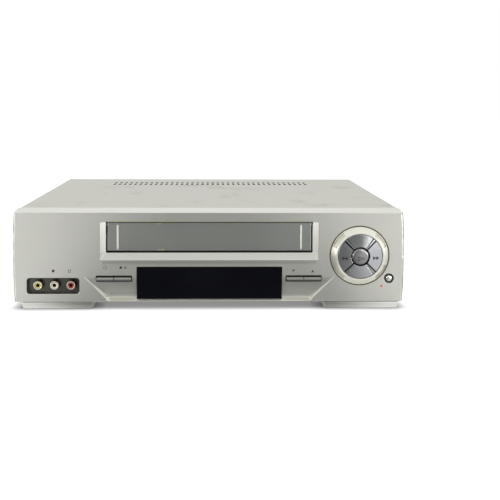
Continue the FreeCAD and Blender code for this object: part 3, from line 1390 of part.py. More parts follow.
def make_components():
    """Chips and capacitors on the main board, as separate solids."""
    solids = []
    for side in ("-", ""):
        for step in (0, 1, 2):
            x = f"{side}(main_half - chip_width / 2 - boss_inset)"
            y = f"face_y + main_front + chip_pitch * ({step} + 1)"
            solids.append(block((f"{x} - chip_width / 2", f"{x} + chip_width / 2"),
                                (f"{y} - chip_depth / 2", f"{y} + chip_depth / 2"),
                                ("main_top", "main_top + chip_height")))
    left = "-main_half + can_radius + boss_inset"
    solids.append(upright("can_radius", "can_height", left, "rear_y - sink_y - sink_width / 2"))
    for step in (0, 1, 2):
        solids.append(upright("small_can_radius", "small_can_height", "tuner_x",
                              f"rear_y - sink_y - sink_width + {step} * small_can_pitch"))
    keep("board_components", join(*solids))


def make_transformer():
    """Mains transformer: a framed core round a winding."""
    half = "core_width / 2"
    core = block((f"-{half}", half), ("-core_depth / 2", "core_depth / 2"), ("0", "core_height"))
    inner = f"{half} - core_limb"
    hole = block((f"-({inner})", inner), ("-core_depth / 2", "core_depth / 2"),
                 ("core_limb", "core_height - core_limb"))
    winding = block((f"-({inner})", inner), ("-winding_depth / 2", "winding_depth / 2"),
                    ("core_limb", "core_height - core_limb"))
    keep("power_transformer", join(cut(core, hole), winding), "-transformer_x",
         "rear_y - transformer_y", "main_top")


def make_heat_sink():
    """Finned heat sink of the power supply."""
    part = Moulding("heat_sink")
    part.add("top", "0", "sink_height", rectangle("-sink_base", "0", "-sink_width / 2", "sink_width / 2"))
    fin = part.add("top", "0", "sink_height",
                   rectangle("0", "fin_depth", "-sink_width / 2", "fin_sheet - sink_width / 2"))
    part.row(fin, "Y", "(sink_width - fin_sheet) / (fin_count - 1)", "fin_count")
    keep("heat_sink", part.body, "-transformer_x", "rear_y - sink_y", "main_top")


def make_deck_plate():
    """Deck plate with its tracks, axles, bearing and the holes that the drive needs."""
    part = Moulding("deck_plate")
    part.add("top", "-deck_sheet", "0",
             rectangle("-deck_half", "deck_half", "deck_front_y", "deck_rear_y"))
    for side in ("-", ""):
        part.add("top", "0", "axle_height", round_hole(f"{side}reel_x", "-reel_y", "axle_radius"))
    part.add("top", "0", "idler_axle_height", round_hole("0", "-idler_y", "axle_radius"))
    part.add("top", "0", "idler_axle_height / 2", round_hole("pinch_x", "pinch_y", "axle_radius"))
    part.add("top", "0", "cam_low - deck_top + cam_height", round_hole("-cam_x", "cam_y", "axle_radius"))
    part.add("top", "0", "bearing_height", round_hole("capstan_x", "capstan_y", "bearing_radius"))
    part.remove("top", "-deck_sheet", "bearing_height",
                round_hole("capstan_x", "capstan_y", "capstan_radius + running_gap"))
    part.remove("top", "-deck_sheet", "0", track("1"), track("-1"))
    keep("deck_plate", part.body, z="deck_top")


def track(side):
    """Outline of a straight track for a tape guide, right (1) or left (-1)."""
    half = "(guide_key_half + play_gap)"
    over = "(guide_key_reach + play_gap)"
    along_x = "guide_run_x / guide_run"
    along_y = "guide_run_y / guide_run"
    corners = []
    for start, across in ((True, 1), (False, 1), (False, -1), (True, -1)):
        x = "guide_rest_x" if start else "guide_end_x"
        y = "guide_rest_y" if start else "drum_y"
        reach = "-" if start else "+"
        corners.append((
            f"({side}) * ({x} {reach} {over} * {along_x} + ({across}) * {half} * {along_y})",
            f"{y} {reach} {over} * {along_y} - ({across}) * {half} * {along_x}"))
    return corners


def make_brackets():
    """Upright deck brackets with a long slot for the pins of the cassette slide."""
    part = Moulding("bracket_right")
    rear = "slide_rear"
    part.add("side", "bracket_inner", "bracket_outer",
             rectangle("-bracket_front", rear, "deck_top", "bracket_high"))
    part.add("side", "bracket_outer", "bracket_outer + bracket_foot",
             rectangle("-bracket_front + bracket_sheet", rear, "deck_top", "deck_top + bracket_sheet"))
    half = "(guide_pin_radius + play_gap)"
    part.remove("side", "bracket_inner", "bracket_outer", rectangle(
        f"-slide_pin_front - slide_travel - {half}", f"slide_pin_rear + {half}",
        f"slide_pin_z - {half}", f"slide_pin_z + {half}"))
    part.remove("side", "bracket_inner", "bracket_outer", rectangle(
        "-bracket_front + bracket_web_end", f"{rear} - bracket_web_end",
        "bracket_web_low", "bracket_web_high"))
    keep("bracket_right", part.body)
    keep("bracket_left", mirrored(part.body))


def make_slide():
    """Slide that carries the cassette holder in and out: two cheeks and a cross bar."""
    cheek = block(("slide_inner", "slide_outer"), ("-slide_front", "slide_rear"),
                  ("slide_low", "slide_high"))
    half = "(guide_pin_radius + play_gap)"
    slots = []
    for y in ("-holder_pin_front", "holder_pin_rear"):
        slots.append(block(("slide_inner", "slide_outer"), (f"{y} - {half}", f"{y} + {half}"),
                           (f"holder_pin_z - cassette_drop - {half}", f"holder_pin_z + {half}")))
    pins = [rod("X", "guide_pin_radius", "slide_outer", "slide_pin_reach", (y, "slide_pin_z"))
            for y in ("-slide_pin_front", "slide_pin_rear")]
    side = join(cut(cheek, *slots), *pins)
    bars = [block(("-slide_inner", "slide_inner"), ends, ("slide_high - carriage_sheet", "slide_high"))
            for ends in (("-slide_front", "slide_bar_front - slide_front"),
                         ("slide_rear - slide_bar_front", "slide_rear"))]
    keep("cassette_slide", join(side, mirrored(side), *bars))


def make_holder():
    """Cassette holder: a folded channel with ledges, pins and windows in its top."""
    part = Moulding("cassette_holder")
    inner = "holder_inner"
    outer = "holder_outer"
    ledge = "holder_outer - holder_ledge"
    floor = "holder_low + carriage_sheet"
    roof = "holder_high - carriage_sheet"
    part.add("front", "cassette_back - holder_depth", "cassette_back", [
        (f"-{outer}", "holder_low"),
        (f"-({ledge})", "holder_low"),
        (f"-({ledge})", floor),
        (f"-{inner}", floor),
        (f"-{inner}", roof),
        (inner, roof),
        (inner, floor),
        (ledge, floor),
        (ledge, "holder_low"),
        (outer, "holder_low"),
        (outer, "holder_high"),
        (f"-{outer}", "holder_high"),
    ])
    middle = "(cassette_back - holder_depth / 2)"
    windows = []
    for sign in ("-", ""):
        x = f"{sign}holder_window_place"
        windows.append(rectangle(
            f"{x} - holder_window / 2", f"{x} + holder_window / 2",
            f"{middle} - holder_window_depth / 2", f"{middle} + holder_window_depth / 2"))
    part.remove("top", roof, "holder_high", *windows)
    pins = [round_hole(y, "holder_pin_z", "guide_pin_radius")
            for y in ("-holder_pin_front", "holder_pin_rear")]
    part.add("side", outer, f"{outer} + holder_pin_reach", *pins)
    part.add("side", f"-{outer} - holder_pin_reach", f"-{outer}", *pins)
    keep("cassette_holder", part.body)


def make_reels():
    """Two reel tables with splined spindles."""
    for label, side in (("supply_reel", "-"), ("takeup_reel", "")):
        part = Moulding(label)
        bore = "axle_radius + running_gap"
        part.turn("front", [
            (bore, "0"),
            ("reel_radius", "0"),
            ("reel_radius", "reel_rim"),
            ("hub_radius", "reel_rim"),
            ("hub_radius", "hub_height"),
            ("spindle_radius", "hub_height"),
            ("spindle_radius", "spindle_height"),
            (bore, "spindle_height"),
        ])
        spline = part.add("top", "hub_height", "spindle_height - spline_reach", rectangle(
            "spindle_radius - spline_reach / 2", "spindle_radius + spline_reach",
            "-spline_width / 2", "spline_width / 2"))
        part.circle(spline, "Z", "spline_count")
        keep(label, part.body, f"{side}reel_x", "-reel_y", "reel_low")


def make_idler():
    """Swinging idler between the reels: an arm and a grooved wheel."""
    part = Moulding("idler_arm")
    half = "arm_width / 2"
    bore = "axle_radius + running_gap"
    part.add("top", "0", "arm_sheet", rectangle(f"-{half}", half, "-idler_length", "0"))
    part.add("top", "0", "arm_sheet", round_hole("0", "0", half))
    part.add("top", "0", "arm_sheet", round_hole("0", "-idler_length", half))
    part.remove("top", "0", "arm_sheet", round_hole("0", "0", bore))
    part.add("top", "arm_sheet", "arm_sheet + play_gap + idler_height",
             round_hole("0", "-idler_length", "axle_radius"))
    keep("idler_arm", part.body, y="-idler_y", z="arm_low")
    part = Moulding("idler_wheel")
    part.turn("front", rectangle(bore, "idler_radius", "0", "idler_height"))
    keep("idler_wheel", part.body, y="-idler_y - idler_length", z="arm_low + arm_sheet + play_gap")


def leaning(item, tilt, axis="X"):
    """Lean an object about an axis through its own origin."""
    item.Placement = FreeCAD.Placement(Vector(), Rotation(AXES[axis], abs(number(tilt))))
    bind(item, Placement__Rotation__Angle=tilt)
    return item


def make_drum():
    """Fixed lower drum with a level foot, and the turning upper drum, both leaning back."""
    lower = leaning(rod("Z", "drum_radius", "0", "drum_root + drum_low_height"), "-drum_tilt")
    move(lower, "0", "-drum_root * sin(drum_tilt)", "-drum_root * cos(drum_tilt)")
    side = ("-2 * drum_radius", "2 * drum_radius")
    trim = block(side, side, ("-drum_radius", "0"))
    keep("drum_base", cut(lower, trim), y="drum_y", z="deck_top")
    part = Moulding("head_drum")
    low = "drum_low_height + drum_lap"
    high = f"{low} + drum_high_height"
    part.turn("front", [
        ("0", low),
        ("drum_radius", low),
        ("drum_radius", high),
        ("drum_cap_radius", high),
        ("drum_cap_radius", f"{high} + drum_cap_height"),
        ("0", f"{high} + drum_cap_height"),
    ])
    half = "head_notch / 2"
    notch = part.remove("top", low, f"{low} + head_notch",
                        rectangle(f"drum_radius - {half}", "drum_radius + head_notch", f"-{half}", half))
    part.circle(notch, "Z", "2")
    leaning(part.body, "-drum_tilt")
    keep("head_drum", part.body, y="drum_y", z="deck_top")


def make_capstan():
    """Capstan shaft with its flywheel under the deck plate."""
    part = Moulding("capstan")
    top = "-deck_sheet - flywheel_gap"
    low = f"{top} - flywheel_height"
    part.turn("front", [
        ("0", low),
        ("flywheel_radius", low),
        ("flywheel_radius", top),
        ("capstan_radius", top),
        ("capstan_radius", "capstan_top"),
        ("0", "capstan_top"),
    ])
    keep("capstan", part.body, "capstan_x", "capstan_y", "deck_top")


def make_pinch():
    """Pinch arm and the roller that it presses against the capstan."""
    half = "arm_width / 2"
    arm = block(("0", "pinch_length"), (f"-{half}", half), ("0", "arm_sheet"))
    leaning(arm, "pinch_rest", "Z")
    move(arm, f"{half} * sin(pinch_rest)", f"-{half} * cos(pinch_rest)")
    eye = rod("Z", half, "0", "arm_sheet")
    spot = ("pinch_roller_x", "pinch_roller_y")
    end = rod("Z", half, "0", "arm_sheet", spot)
    post = rod("Z", "post_radius", "0", "pinch_low + roller_height + post_end", spot)
    shoulder = rod("Z", "shoulder_radius", "0", "pinch_low - 2 * play_gap", spot)
    bore = rod("Z", "axle_radius + running_gap", "0", "arm_sheet")
    whole = cut(join(arm, eye, end, post, shoulder), bore)
    keep("pinch_arm", whole, "pinch_x", "pinch_y", "arm_low")
    part = Moulding("pinch_roller")
    bore = "post_radius + running_gap"
    part.turn("front", rectangle(bore, "pinch_radius", "0", "roller_height"))
    keep("pinch_roller", part.body, "pinch_x + pinch_roller_x", "pinch_y + pinch_roller_y",
         "arm_low + pinch_low")


def make_guides():
    """Tape guides that carry the tape round the drum: base, key, roller and slanted post."""
    for label, sign, back in (("guide_left", "-", ""), ("guide_right", "", "-")):
        half = "guide_base / 2"
        reach = "guide_base_length / 2"
        base = block((f"-{half}", half), (f"-{reach}", reach), ("play_gap", "guide_base_height"))
        key = block(("-guide_key_half", "guide_key_half"), ("-guide_key_reach", "guide_key_reach"),
                    ("-deck_sheet", "play_gap"))
        roller = rod("Z", "guide_roller_radius", "guide_base_height",
                     "tape_low + roller_height - guide_base_height")
        rim = rod("Z", "guide_flange_radius", "tape_low + roller_height", "guide_flange")
        slant = leaning(rod("Z", "slant_radius", "0", "slant_length"), "-guide_lean")
        move(slant, "0", "slant_step", "guide_base_height / 2")
        whole = join(base, key, roller, slant, rim)
        leaning(whole, f"{back}guide_angle", "Z")
        keep(label, whole, f"{sign}guide_rest_x", "guide_rest_y", "deck_top")


def make_heads():
    """Erase head on the left and audio and control head on the right of the drum."""
    for label, sign in (("erase_head", "-"), ("audio_control_head", "")):
        half = "head_width / 2"
        deep = "head_depth / 2"
        wide = "head_base / 2"
        base = block((f"-{wide}", wide), (f"-{deep}", f"{deep} + head_heel"), ("0", "head_base_height"))
        body = block((f"-{half}", half), (f"-{deep} / 2", deep), ("head_base_height", "head_top"))
        face = rod("Z", half, "head_top - roller_height", "roller_height", ("0", f"-{deep} / 2"))
        keep(label, join(base, body, face), f"{sign}head_x", "head_y", "deck_top")


def make_loading_drive():
    """Loading gear with its cam track, the worm that turns it, and the loading motor."""
    part = Moulding("loading_gear")
    bore = "axle_radius + running_gap"
    part.turn("front", [
        (bore, "0"),
        ("cam_radius", "0"),
        ("cam_radius", "cam_height"),
        ("cam_track_outer", "cam_height"),
        ("cam_track_outer", "cam_height - cam_track_depth"),
        ("cam_track_inner", "cam_height - cam_track_depth"),
        ("cam_track_inner", "cam_height"),
        (bore, "cam_height"),
    ])
    part.add("top", "deck_top + play_gap - cam_low", "0", round_hole("0", "0", "cam_hub"))
    part.remove("top", "deck_top + play_gap - cam_low", "0", round_hole("0", "0", bore))
    tooth = part.add("top", "0", "cam_height", [
        ("cam_radius - tooth_height", "-tooth_width / 2"),
        ("cam_radius + tooth_height", "-tooth_width / 4"),
        ("cam_radius + tooth_height", "tooth_width / 4"),
        ("cam_radius - tooth_height", "tooth_width / 2"),
    ])
    part.circle(tooth, "Z", "cam_teeth")
    keep("loading_gear", part.body, "-cam_x", "cam_y", "cam_low")
    part = Moulding("loading_worm")
    part.turn("top", rectangle("0", "worm_radius", "-worm_half", "worm_half"))
    part.add("front", "worm_half", "worm_half + motor_step + motor_plate + motor_bore - play_gap",
             round_hole("0", "0", "motor_shaft"))
    keep("loading_worm", part.body, "-worm_x", "cam_y", "motor_z")
    start = "(worm_half + motor_step)"
    can = rod("Y", "motor_radius", f"{start} + motor_plate", "motor_length")
    side = "motor_radius"
    plate = block((f"-{side}", side), (start, f"{start} + motor_plate"), ("deck_top - motor_z", side))
    bore = rod("Y", "motor_shaft + running_gap", start, "motor_plate + motor_bore")
    keep("loading_motor", cut(join(can, plate), bore), "-worm_x", "cam_y", "motor_z")


def check_and_export():
    """Stop on a failed object or an unsound shape, then write one file for each sub-part."""
    doc.recompute()
    failed = [item.Name for item in doc.Objects if {"Invalid", "Error"} & set(item.State)]
    if failed:
        raise SystemExit(f"objects that failed: {failed}")
    os.makedirs("parts", exist_ok=True)
    for item in nodes:
        shape = item.Shape
        if shape.isNull() or not shape.isValid() or not shape.Solids:
            raise SystemExit(f"unsound shape: {item.Label}")
        print(f"{item.Label}: {len(shape.Solids)} solids, {shape.Volume:.0f} cubic millimetres")
    for item in nodes:
        item.Shape.exportStep(f"parts/{item.Label}.step")


fill_sheet()
make_fascia()
make_flap()
make_window()
make_display_tube()
make_front_board()
make_pair_keys()
make_dial_ring()
make_ring_keys()
make_round_keys()
make_front_jacks()
make_cover()
make_cover_screws()
make_chassis()
make_feet()
make_rear_panel()
make_wide_sockets()
make_tuner()
make_rear_jacks()
make_inlet()
make_main_board()
make_components()
make_transformer()
make_heat_sink()
make_deck_plate()
make_brackets()
make_slide()
make_holder()
make_reels()
make_idler()
make_drum()
make_capstan()
make_pinch()
make_guides()
make_heads()
make_loading_drive()
check_and_export()
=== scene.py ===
"""Video cassette recorder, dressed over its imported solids.

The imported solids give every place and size. Each sub-assembly is a class that
softens, replaces or finishes the solids of its part of the machine. Sizes are
in millimetres, those of the studio in metres, and places are in the frame of
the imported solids.
"""

from __future__ import annotations

import json
import logging
import math
from collections.abc import Callable, Iterable, Mapping, Sequence
from dataclasses import dataclass, field
from enum import Enum
from functools import partial

import bmesh
import bpy
from mathutils import Matrix, Vector
from mathutils.bvhtree import BVHTree

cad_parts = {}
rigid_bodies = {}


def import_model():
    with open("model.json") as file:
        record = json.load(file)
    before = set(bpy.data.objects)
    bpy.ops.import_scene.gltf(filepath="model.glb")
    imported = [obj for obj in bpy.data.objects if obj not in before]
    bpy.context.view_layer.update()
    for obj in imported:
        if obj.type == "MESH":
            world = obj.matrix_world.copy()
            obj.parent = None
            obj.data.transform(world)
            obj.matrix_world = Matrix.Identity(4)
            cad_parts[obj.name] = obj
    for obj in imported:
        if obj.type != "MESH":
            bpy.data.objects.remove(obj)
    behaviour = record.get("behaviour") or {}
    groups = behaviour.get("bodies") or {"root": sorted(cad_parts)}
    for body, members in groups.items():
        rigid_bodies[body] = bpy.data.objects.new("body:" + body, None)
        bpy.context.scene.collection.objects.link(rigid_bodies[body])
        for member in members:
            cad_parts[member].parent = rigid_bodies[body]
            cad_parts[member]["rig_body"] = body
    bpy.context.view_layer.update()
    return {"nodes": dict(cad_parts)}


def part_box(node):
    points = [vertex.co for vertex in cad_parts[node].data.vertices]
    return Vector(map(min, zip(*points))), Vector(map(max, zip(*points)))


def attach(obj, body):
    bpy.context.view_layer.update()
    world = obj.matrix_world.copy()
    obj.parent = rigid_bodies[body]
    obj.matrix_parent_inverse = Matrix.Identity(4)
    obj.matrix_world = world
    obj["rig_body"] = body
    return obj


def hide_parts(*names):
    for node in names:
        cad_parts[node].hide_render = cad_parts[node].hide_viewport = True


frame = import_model()

LOG = logging.getLogger("recorder")
MADE: dict[str, bpy.types.Material] = {}
MM = 0.001
PICTURE_WIDTH = 500
WELD = 0.002
FLAT_ANGLE = 0.4
ROUND_STEPS = 2
SHADING_WEIGHT = 80
IN_FRONT = -300.0
INK_SUNK = -0.02
INK_THICK = 0.05
ARC_STEPS = 40
ARC_SINE = math.sin(math.radians(17))
Colour = tuple[float, float, float, float]
Pair = tuple[float, float]
Place = tuple[float, float, float]


def tone(red: int, green: int, blue: int) -> Colour:
    """Turns a colour of a picture into a linear colour.

    Args:
        red: Red level from 0 to 255.
        green: Green level from 0 to 255.
        blue: Blue level from 0 to 255.

    Returns:
        The linear colour.
    """
    shares = [level / 255 for level in (red, green, blue)]
    linear = [s / 12.92 if s <= 0.04045 else ((s + 0.055) / 1.055) ** 2.4 for s in shares]
    return (linear[0], linear[1], linear[2], 1.0)


def dimmed(colour: Colour, share: float) -> Colour:
    """Returns a linear colour with its light multiplied by a share."""
    red, green, blue = (min(1.0, part * share) for part in colour[:3])
    return (red, green, blue, 1.0)


DUST_BROWN = tone(112, 100, 74)
YELLOW_TINT = tone(196, 192, 150)
SHADE = tone(24, 23, 21)
# Painted shade inside the pocket of the front sockets.
POCKET_SHADE = tone(70, 69, 61)
# Painted highlight, laid where edges, ribs and sills catch the light.
PAINTED_HIGHLIGHT = tone(238, 236, 224)
SIDE_SHADE = tone(104, 103, 97)
BEZEL_SHADE = tone(140, 139, 134)
SOCKET_WHITE = tone(200, 194, 176)
SOCKET_RED = tone(158, 56, 44)


class Wire:
    """The output of a node, which can be used in sums."""

    def __init__(self, bench: Bench, socket: bpy.types.NodeSocket) -> None:
        """Keeps the bench that the node stands on and the node's output."""
        self.bench = bench
        self.socket = socket

    def _sum(self, operation: str, first: Wire | float, second: Wire | float) -> Wire:
        """Adds one Math node and returns its result."""
        return self.bench.node("ShaderNodeMath", {"operation": operation}, {0: first, 1: second})

    def __add__(self, other: Wire | float) -> Wire:
        """Returns self + other."""
        return self._sum("ADD", self, other)

    def __radd__(self, other: float) -> Wire:
        """Returns other + self."""
        return self._sum("ADD", other, self)

    def __sub__(self, other: Wire | float) -> Wire:
        """Returns self - other."""
        return self._sum("SUBTRACT", self, other)

    def __rsub__(self, other: float) -> Wire:
        """Returns other - self."""
        return self._sum("SUBTRACT", other, self)

    def __mul__(self, other: Wire | float) -> Wire:
        """Returns self * other."""
        return self._sum("MULTIPLY", self, other)

    def __rmul__(self, other: float) -> Wire:
        """Returns other * self."""
        return self._sum("MULTIPLY", other, self)

    def __pow__(self, other: Wire | float) -> Wire:
        """Returns self to a power."""
        return self._sum("POWER", self, other)

    def larger(self, other: Wire | float) -> Wire:
        """Returns the larger of two values."""
        return self._sum("MAXIMUM", self, other)

    def size(self) -> Wire:
        """Returns the value without its sign."""
        return self._sum("ABSOLUTE", self, 0.0)

    def held(self, low: float, high: float) -> Wire:
        """Rises smoothly from 0 at low to 1 at high.

        Args:
            low: The value that gives 0.
            high: The value that gives 1.

        Returns:
            The held value.
        """
        return self.bench.node(
            "ShaderNodeMapRange",
            {"interpolation_type": "SMOOTHSTEP", "clamp": True},
            {"Value": self, "From Min": low, "From Max": high},
        )


class Bench:
    """The node tree of one finish, or of the world."""

    def __init__(self, title: str, world: bool = False) -> None:
        """Starts an empty material or world.

        Args:
            title: Its name.
            world: Whether it is the world.
        """
        self.owner = (bpy.data.worlds if world else bpy.data.materials).new(title)
        self.owner.use_nodes = True
        self.tree = self.owner.node_tree
        self.tree.nodes.clear()

    def node(
        self,
        kind: str,
        settings: Mapping[str, object] | None = None,
        sockets: Mapping[str | int, object] | None = None,
        output: str | int = 0,
    ) -> Wire:
        """Adds a node.

        Args:
            kind: The node's type.
            settings: Its properties, set first.
            sockets: Values or wires for its inputs.
            output: The output to hand back.

        Returns:
            The chosen output.
        """
        made = self.tree.nodes.new(kind)
        for name, value in (settings or {}).items():
            setattr(made, name, value)
        for key, value in (sockets or {}).items():
            if isinstance(value, Wire):
                self.tree.links.new(value.socket, made.inputs[key])
            else:
                made.inputs[key].default_value = value
        return Wire(self, made.outputs[output] if made.outputs else None)

    def spot(self) -> Wire:
        """Returns the place on the object, in metres."""
        return self.node("ShaderNodeTexCoord", output="Object")

    def across(self) -> tuple[Wire, Wire, Wire]:
        """Returns the place's three coordinates, in metres."""
        split = self.node("ShaderNodeSeparateXYZ", {}, {0: self.spot()})
        node = split.socket.node
        return tuple(Wire(self, node.outputs[i]) for i in range(3))

    def noise(
        self,
        size: float,
        detail: float = 2.0,
        stretch: Place = (1, 1, 1),
        turn: float = 0.0,
        shift: float = 0.0,
    ) -> Wire:
        """Adds a cloudy pattern.

        Args:
            size: Width of its spots in millimetres.
            detail: How many finer layers it has.
            stretch: Factors on the spots' length along each axis.
            turn: Turn of the pattern about the upright axis, in degrees.
            shift: Offset that makes a pattern differ from the others.

        Returns:
            A value about 0.5.
        """
        moved = self.node(
            "ShaderNodeMapping",
            {"vector_type": "POINT"},
            {
                "Vector": self.spot(),
                "Location": (shift, shift * 0.7, shift * 0.4),
                "Rotation": (0, 0, math.radians(turn)),
                "Scale": tuple(1 / part for part in stretch),
            },
        )
        return self.node(
            "ShaderNodeTexNoise",
            {"noise_dimensions": "3D"},
            {"Vector": moved, "Scale": 1 / (size * MM), "Detail": detail},
        )

    def cells(self, size: float, stretch: Place = (1, 1, 1)) -> Wire:
        """Adds small cells of random value.

        Args:
            size: Width of a cell in millimetres.
            stretch: Factors on the cells' length along each axis.

        Returns:
            A value from 0 to 1, one for each cell.
        """
        moved = self.node(
            "ShaderNodeMapping",
            {"vector_type": "POINT"},
            {"Vector": self.spot(), "Scale": tuple(1 / part for part in stretch)},
        )
        return self.node(
            "ShaderNodeTexVoronoi",
            {"feature": "F1"},
            {"Vector": moved, "Scale": 1 / (size * MM)},
            "Color",
        )

    def blend(self, share: Wire | float, first: Wire | Colour, second: Wire | Colour) -> Wire:
        """Mixes two colours.

        Args:
            share: 0 for the first colour and 1 for the second.
            first: The first colour.
            second: The second colour.

        Returns:
            The mixed colour.
        """
        return self.node(
            "ShaderNodeMix",
            {"data_type": "RGBA", "blend_type": "MIX", "clamp_factor": True},
            {0: share, 6: first, 7: second},
            2,
        )

    def drift(self, share: Wire, colour: Colour, low: float, high: float) -> Wire:
        """Mixes a colour with its light multiplied by low (share 0) and by high (share 1)."""
        return self.blend(share, dimmed(colour, low), dimmed(colour, high))

    def ray(self, kind: str) -> Wire:
        """Returns 1 for rays of this kind and 0 for others."""
        return self.node("ShaderNodeLightPath", output=f"Is {kind} Ray")

    def glow(self, level: float, strength: float) -> Wire:
        """Returns a grey light of the surface's own."""
        colour = (level, level, level, 1.0)
        return self.node("ShaderNodeEmission", {}, {"Color": colour, "Strength": strength})

    def fade(self, share: Wire, first: Wire, second: Wire) -> Wire:
        """Mixes two shaders, 0 for the first and 1 for the second."""
        return self.node("ShaderNodeMixShader", {}, {0: share, 1: first, 2: second})

    def crevice(self, reach: float) -> Wire:
        """Finds corners and seams.

        Args:
            reach: How far a neighbouring surface counts, in millimetres.

        Returns:
            0 on open surfaces and 1 deep in a corner.
        """
        open_share = self.node(
            "ShaderNodeAmbientOcclusion", {"samples": 6}, {"Distance": reach * MM}, "AO"
        )
        return 1 - open_share

    def bump(self, height: Wire, strength: float, depth: float) -> Wire:
        """Adds relief.

        Args:
            height: The relief's height from 0 to 1.
            strength: Its strength.
            depth: Its depth in millimetres.

        Returns:
            The normal.
        """
        return self.node(
            "ShaderNodeBump", {}, {"Strength": strength, "Distance": depth * MM, "Height": height}
        )

    def surface(self, sockets: Mapping[str, object]) -> None:
        """Ends the tree with a Principled shader, its inputs being values or wires."""
        shader = self.node("ShaderNodeBsdfPrincipled", {}, sockets)
        self.node("ShaderNodeOutputMaterial", {}, {"Surface": shader})


@dataclass(frozen=True)
class Finish:
    """A surface finish that is made once and shared."""

    title: str
    marks: tuple[Mark, ...] = field(default=(), kw_only=True)

    def marked(self, bench: Bench, base: Wire) -> Wire:
        """Lays the marks over the finish's own colour.

        Args:
            bench: The bench to build on.
            base: The finish's own colour.

        Returns:
            The marked colour.
        """
        for mark in self.marks:
            base = bench.blend(mark.mask(bench), base, mark.colour)
        return base

    def material(self) -> bpy.types.Material:
        """Makes the finish's material at its first use.

        Returns:
            The shared material.
        """
        if self.title not in MADE:
            bench = Bench(f"look_{self.title}")
            self.dress(bench)
            MADE[self.title] = bench.owner
        return MADE[self.title]

    def dress(self, bench: Bench) -> None:
        """Builds the node tree on a bench."""
        raise NotImplementedError


class MarkShape(Enum):
    """How a mark on the paint is bounded."""

    BOX = "box"
    RING = "ring"
    LINE = "line"
    ARCS = "arcs"


@dataclass(frozen=True)
class Mark:
    """A place on a painted surface: wear, dust, a stain, painted shade or a painted highlight.

    A box has a middle, half sizes and a soft edge. A ring lies round the Y
    axis through its middle, and its half sizes are (radius, half width, 0).
    A line is drawn on the front through its middle, and its half sizes are
    (half length, half width, slope in degrees). Arcs are the four parts of a
    ring at (radius, half width, degrees above the level), 17 degrees each way.
    """

    shape: MarkShape
    middle: Place
    half: Place
    edge: float
    colour: Colour
    strength: float
    ragged: float = 0.0

    def mask(self, bench: Bench) -> Wire:
        """Finds where the mark lies.

        Args:
            bench: The bench to build on.

        Returns:
            The mark's strength at each place.
        """
        shapes = {
            MarkShape.BOX: self.box,
            MarkShape.RING: self.ring,
            MarkShape.LINE: self.line,
            MarkShape.ARCS: self.arcs,
        }
        share = shapes[self.shape](bench)
        if self.ragged:
            patchy = bench.noise(self.ragged, 4, shift=self.middle[0] * MM)
            share = share * patchy.held(0.38, 0.66)
        return share * self.strength

    def inside(self, off: Wire, hard: bool = False) -> Wire:
        """Turns a distance past a bound into a share; a hard bound blurs only outwards."""
        edge = self.edge * MM
        return 1 - off.held(0 if hard else -edge, edge)

    def past(self, axis: int, wire: Wire) -> Wire:
        """Returns how far a coordinate lies past the half size of its axis."""
        return (wire - self.middle[axis] * MM).size() - self.half[axis] * MM

    def box(self, bench: Bench) -> Wire:
        """Masks a box; an axis with a half size of 0 has no bound.

        Args:
            bench: The bench to build on.

        Returns:
            1 inside the mark and 0 outside.
        """
        share: Wire | float = 1.0
        for axis, wire in enumerate(bench.across()):
            if self.half[axis] > 0:
                share = self.inside(self.past(axis, wire)) * share
        return share

    def flat(self, bench: Bench) -> tuple[Wire, Wire]:
        """Returns how far right and up of its middle a place lies."""
        right, _, up = bench.across()
        return right - self.middle[0] * MM, up - self.middle[2] * MM

    def slope(self) -> Pair:
        """Returns the cosine and the sine of its angle."""
        return math.cos(math.radians(self.half[2])), math.sin(math.radians(self.half[2]))

    def off_ring(self, reach: Wire) -> Wire:
        """Returns how far past the ring's width a place lies."""
        return (reach - self.half[0] * MM).size() - self.half[1] * MM

    def ring(self, bench: Bench) -> Wire:
        """Masks a ring round the Y axis through the middle.

        Args:
            bench: The bench to build on.

        Returns:
            1 inside the mark and 0 outside.
        """
        right, up = self.flat(bench)
        reach = (right * right + up * up) ** 0.5
        return self.inside(self.off_ring(reach), hard=True)

    def line(self, bench: Bench) -> Wire:
        """Masks a sloping line on the front.

        Args:
            bench: The bench to build on.

        Returns:
            1 inside the mark and 0 outside.
        """
        right, up = self.flat(bench)
        cosine, sine = self.slope()
        along = (right * cosine + up * sine).size() - self.half[0] * MM
        off = (up * cosine - right * sine).size() - self.half[1] * MM
        return self.inside(off) * self.inside(along)

    def arcs(self, bench: Bench) -> Wire:
        """Masks four parts of a ring, the same in each quarter.

        Args:
            bench: The bench to build on.

        Returns:
            1 inside the mark and 0 outside.
        """
        right, up = (wire.size() for wire in self.flat(bench))
        cosine, sine = self.slope()
        reach = (right * right + up * up) ** 0.5
        aside = (right * sine - up * cosine).size() - reach * ARC_SINE
        return self.inside(self.off_ring(reach)) * self.inside(aside)


